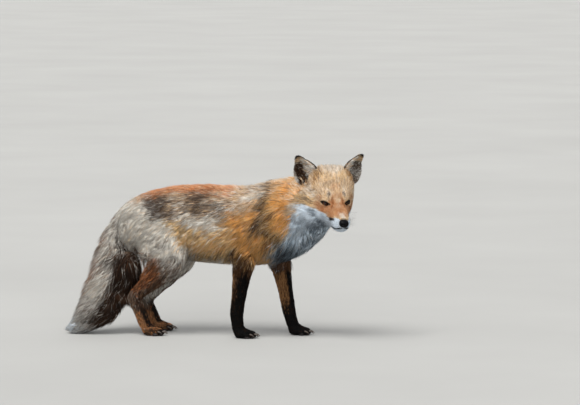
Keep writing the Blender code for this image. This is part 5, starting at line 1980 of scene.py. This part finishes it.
def make_whiskers(paint):
    """Whiskers in rows on the pads of the muzzle, with a few over the eyes and on the cheeks."""
    rng = np.random.default_rng(SEED + 60)
    roots, aims, reaches = [], [], []
    for hand in (1, -1):
        mirror = np.array([1, hand, 1])
        for row, level in enumerate(WHISKER_ROWS):
            for k in range(WHISKERS_IN_ROW):
                place = np.array([0.066 - 0.006 * k, 0.0185 + 0.0012 * k, level - 0.0003 * k])
                aim = np.array([-0.6 - 0.08 * k, 0.95, 0.26 - 0.2 * row]) + rng.normal(size=3) * 0.06
                roots.append(place * mirror)
                aims.append(aim * mirror)
                reaches.append((0.016 + 0.0055 * k) * rng.uniform(0.85, 1.1))
        for place, aim, long in (
            ((0.006, 0.024, 0.018), (-0.25, 0.3, 0.9), 0.022),
            ((0.008, 0.021, 0.017), (-0.2, 0.1, 0.95), 0.018),
            ((-0.004, 0.047, -0.03), (-0.7, 0.7, -0.2), 0.024),
            ((0.052, 0.012, -0.049), (-0.5, 0.35, -0.8), 0.014),
        ):
            roots.append(np.array(place) * mirror)
            aims.append(np.array(aim) * mirror)
            reaches.append(long)
    mesh = bpy.data.meshes.new("whiskers")
    mesh.from_pydata([tuple(p) for p in head_to_world(roots)], [], [])
    keep_numbers(mesh, "aim", unit(np.array(aims)) @ HEAD_AXES.T)
    layer = mesh.attributes.new("reach", "FLOAT", "POINT")
    layer.data.foreach_set("value", np.array(reaches, np.float32))
    thing = link("whiskers", mesh)
    run_tree(thing, whisker_tree(), Thickness=WHISKER_THICK, Droop=WHISKER_DROOP, Material=paint)
    return finish_piece(thing, paint, "dark_coat")


# ---- The stage ----


FLOOR = 30.0  # half its width


def make_stage():
    mesh = bpy.data.meshes.new("floor")
    corners = [(-FLOOR, -FLOOR, 0), (FLOOR, -FLOOR, 0), (FLOOR, FLOOR, 0), (-FLOOR, FLOOR, 0)]
    mesh.from_pydata(corners, [], [(0, 1, 2, 3)])
    floor = link("floor", mesh)
    paint = Paint("pale_floor", 0.9, 0.1)
    paint.colour(paint.ramp(paint.noise(1.2), (0.3, (150, 150, 148)), (0.7, (155, 155, 153))))
    mesh.materials.append(paint.made)
    world = bpy.data.worlds.new("studio")
    world.use_nodes = True
    sky = world.node_tree.nodes["Background"].inputs
    sky["Color"].default_value = (0.97, 0.98, 1.0, 1)
    sky["Strength"].default_value = 0.68
    bpy.context.scene.world = world


def broad_light(name, place, strength, spread, colour):
    """A far, wide light that shines from this side towards the middle."""
    lamp = bpy.data.lights.new(name, "SUN")
    lamp.energy = strength
    lamp.angle = spread
    lamp.color = colour
    thing = link(name, lamp)
    thing.rotation_euler = (-Vector(place)).to_track_quat("-Z", "Y").to_euler()


def make_lights():
    broad_light("top_light", (-0.5, -1.2, 2.4), 3.7, 0.6, (1.0, 0.985, 0.96))
    broad_light("front_fill", (0.7, -3.0, 0.9), 2.4, 1.0, (1.0, 0.99, 0.97))
    broad_light("back_fill", (-0.4, 3.0, 1.4), 0.5, 1.2, (1.0, 0.99, 0.98))


def make_camera():
    a, e = VIEW_AZIMUTH, VIEW_ELEVATION
    back = Vector((math.sin(a) * math.cos(e), -math.cos(a) * math.cos(e), math.sin(e)))
    right = Vector((math.cos(a), math.sin(a), 0))
    over = back.cross(right)
    target = Vector(EYES + SHIFT) - right * VIEW_LEFT_OF_EYES + over * VIEW_ABOVE_EYES
    lens = bpy.data.cameras.new("camera")
    lens.sensor_width = 36.0
    lens.lens = lens.sensor_width * VIEW_DISTANCE / VIEW_WIDTH
    lens.clip_end = 100.0
    camera = link("camera", lens)
    turn = Matrix((right, over, back)).transposed().to_4x4()
    camera.matrix_world = Matrix.Translation(target + back * VIEW_DISTANCE) @ turn
    bpy.context.scene.camera = camera


# ---- Assembly ----


def colour_skin(hide, skin):
    """The markings' under fur on the skin itself."""
    labels = label_faces(hide.points)
    weights = Markings(hide.points, labels, hide.out).lay_all()
    keep_colours(skin.data, np.clip(under_colours(weights), 0, 1))


def main():
    bpy.context.scene.view_settings.view_transform = "Standard"
    make_stage()
    make_lights()
    make_camera()
    skin, outline = make_skin()
    hide = Hide(skin, outline)
    colour_skin(hide, skin)
    finish_piece(skin, skin_paint(), "coat", *FLESH_NODES)
    furred = bare(hide)
    paint = coat_paint()
    for name in COATS:
        slot = "dark_coat" if name in ("coat_forelegs", "coat_hindlegs") else "coat"
        finish_piece(grow(hide, name, furred), paint, slot)
    finish_piece(make_ear_tufts(), paint, "coat")
    amber = eye_paint()
    for hand in (1, -1):
        make_eye(hand, amber)
    make_eye_rims(rim_paint(), hide)
    make_nose(nose_paint())
    make_claws(claw_paint())
    make_pads(pad_paint())
    make_whiskers(whisker_paint())
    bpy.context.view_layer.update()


main()
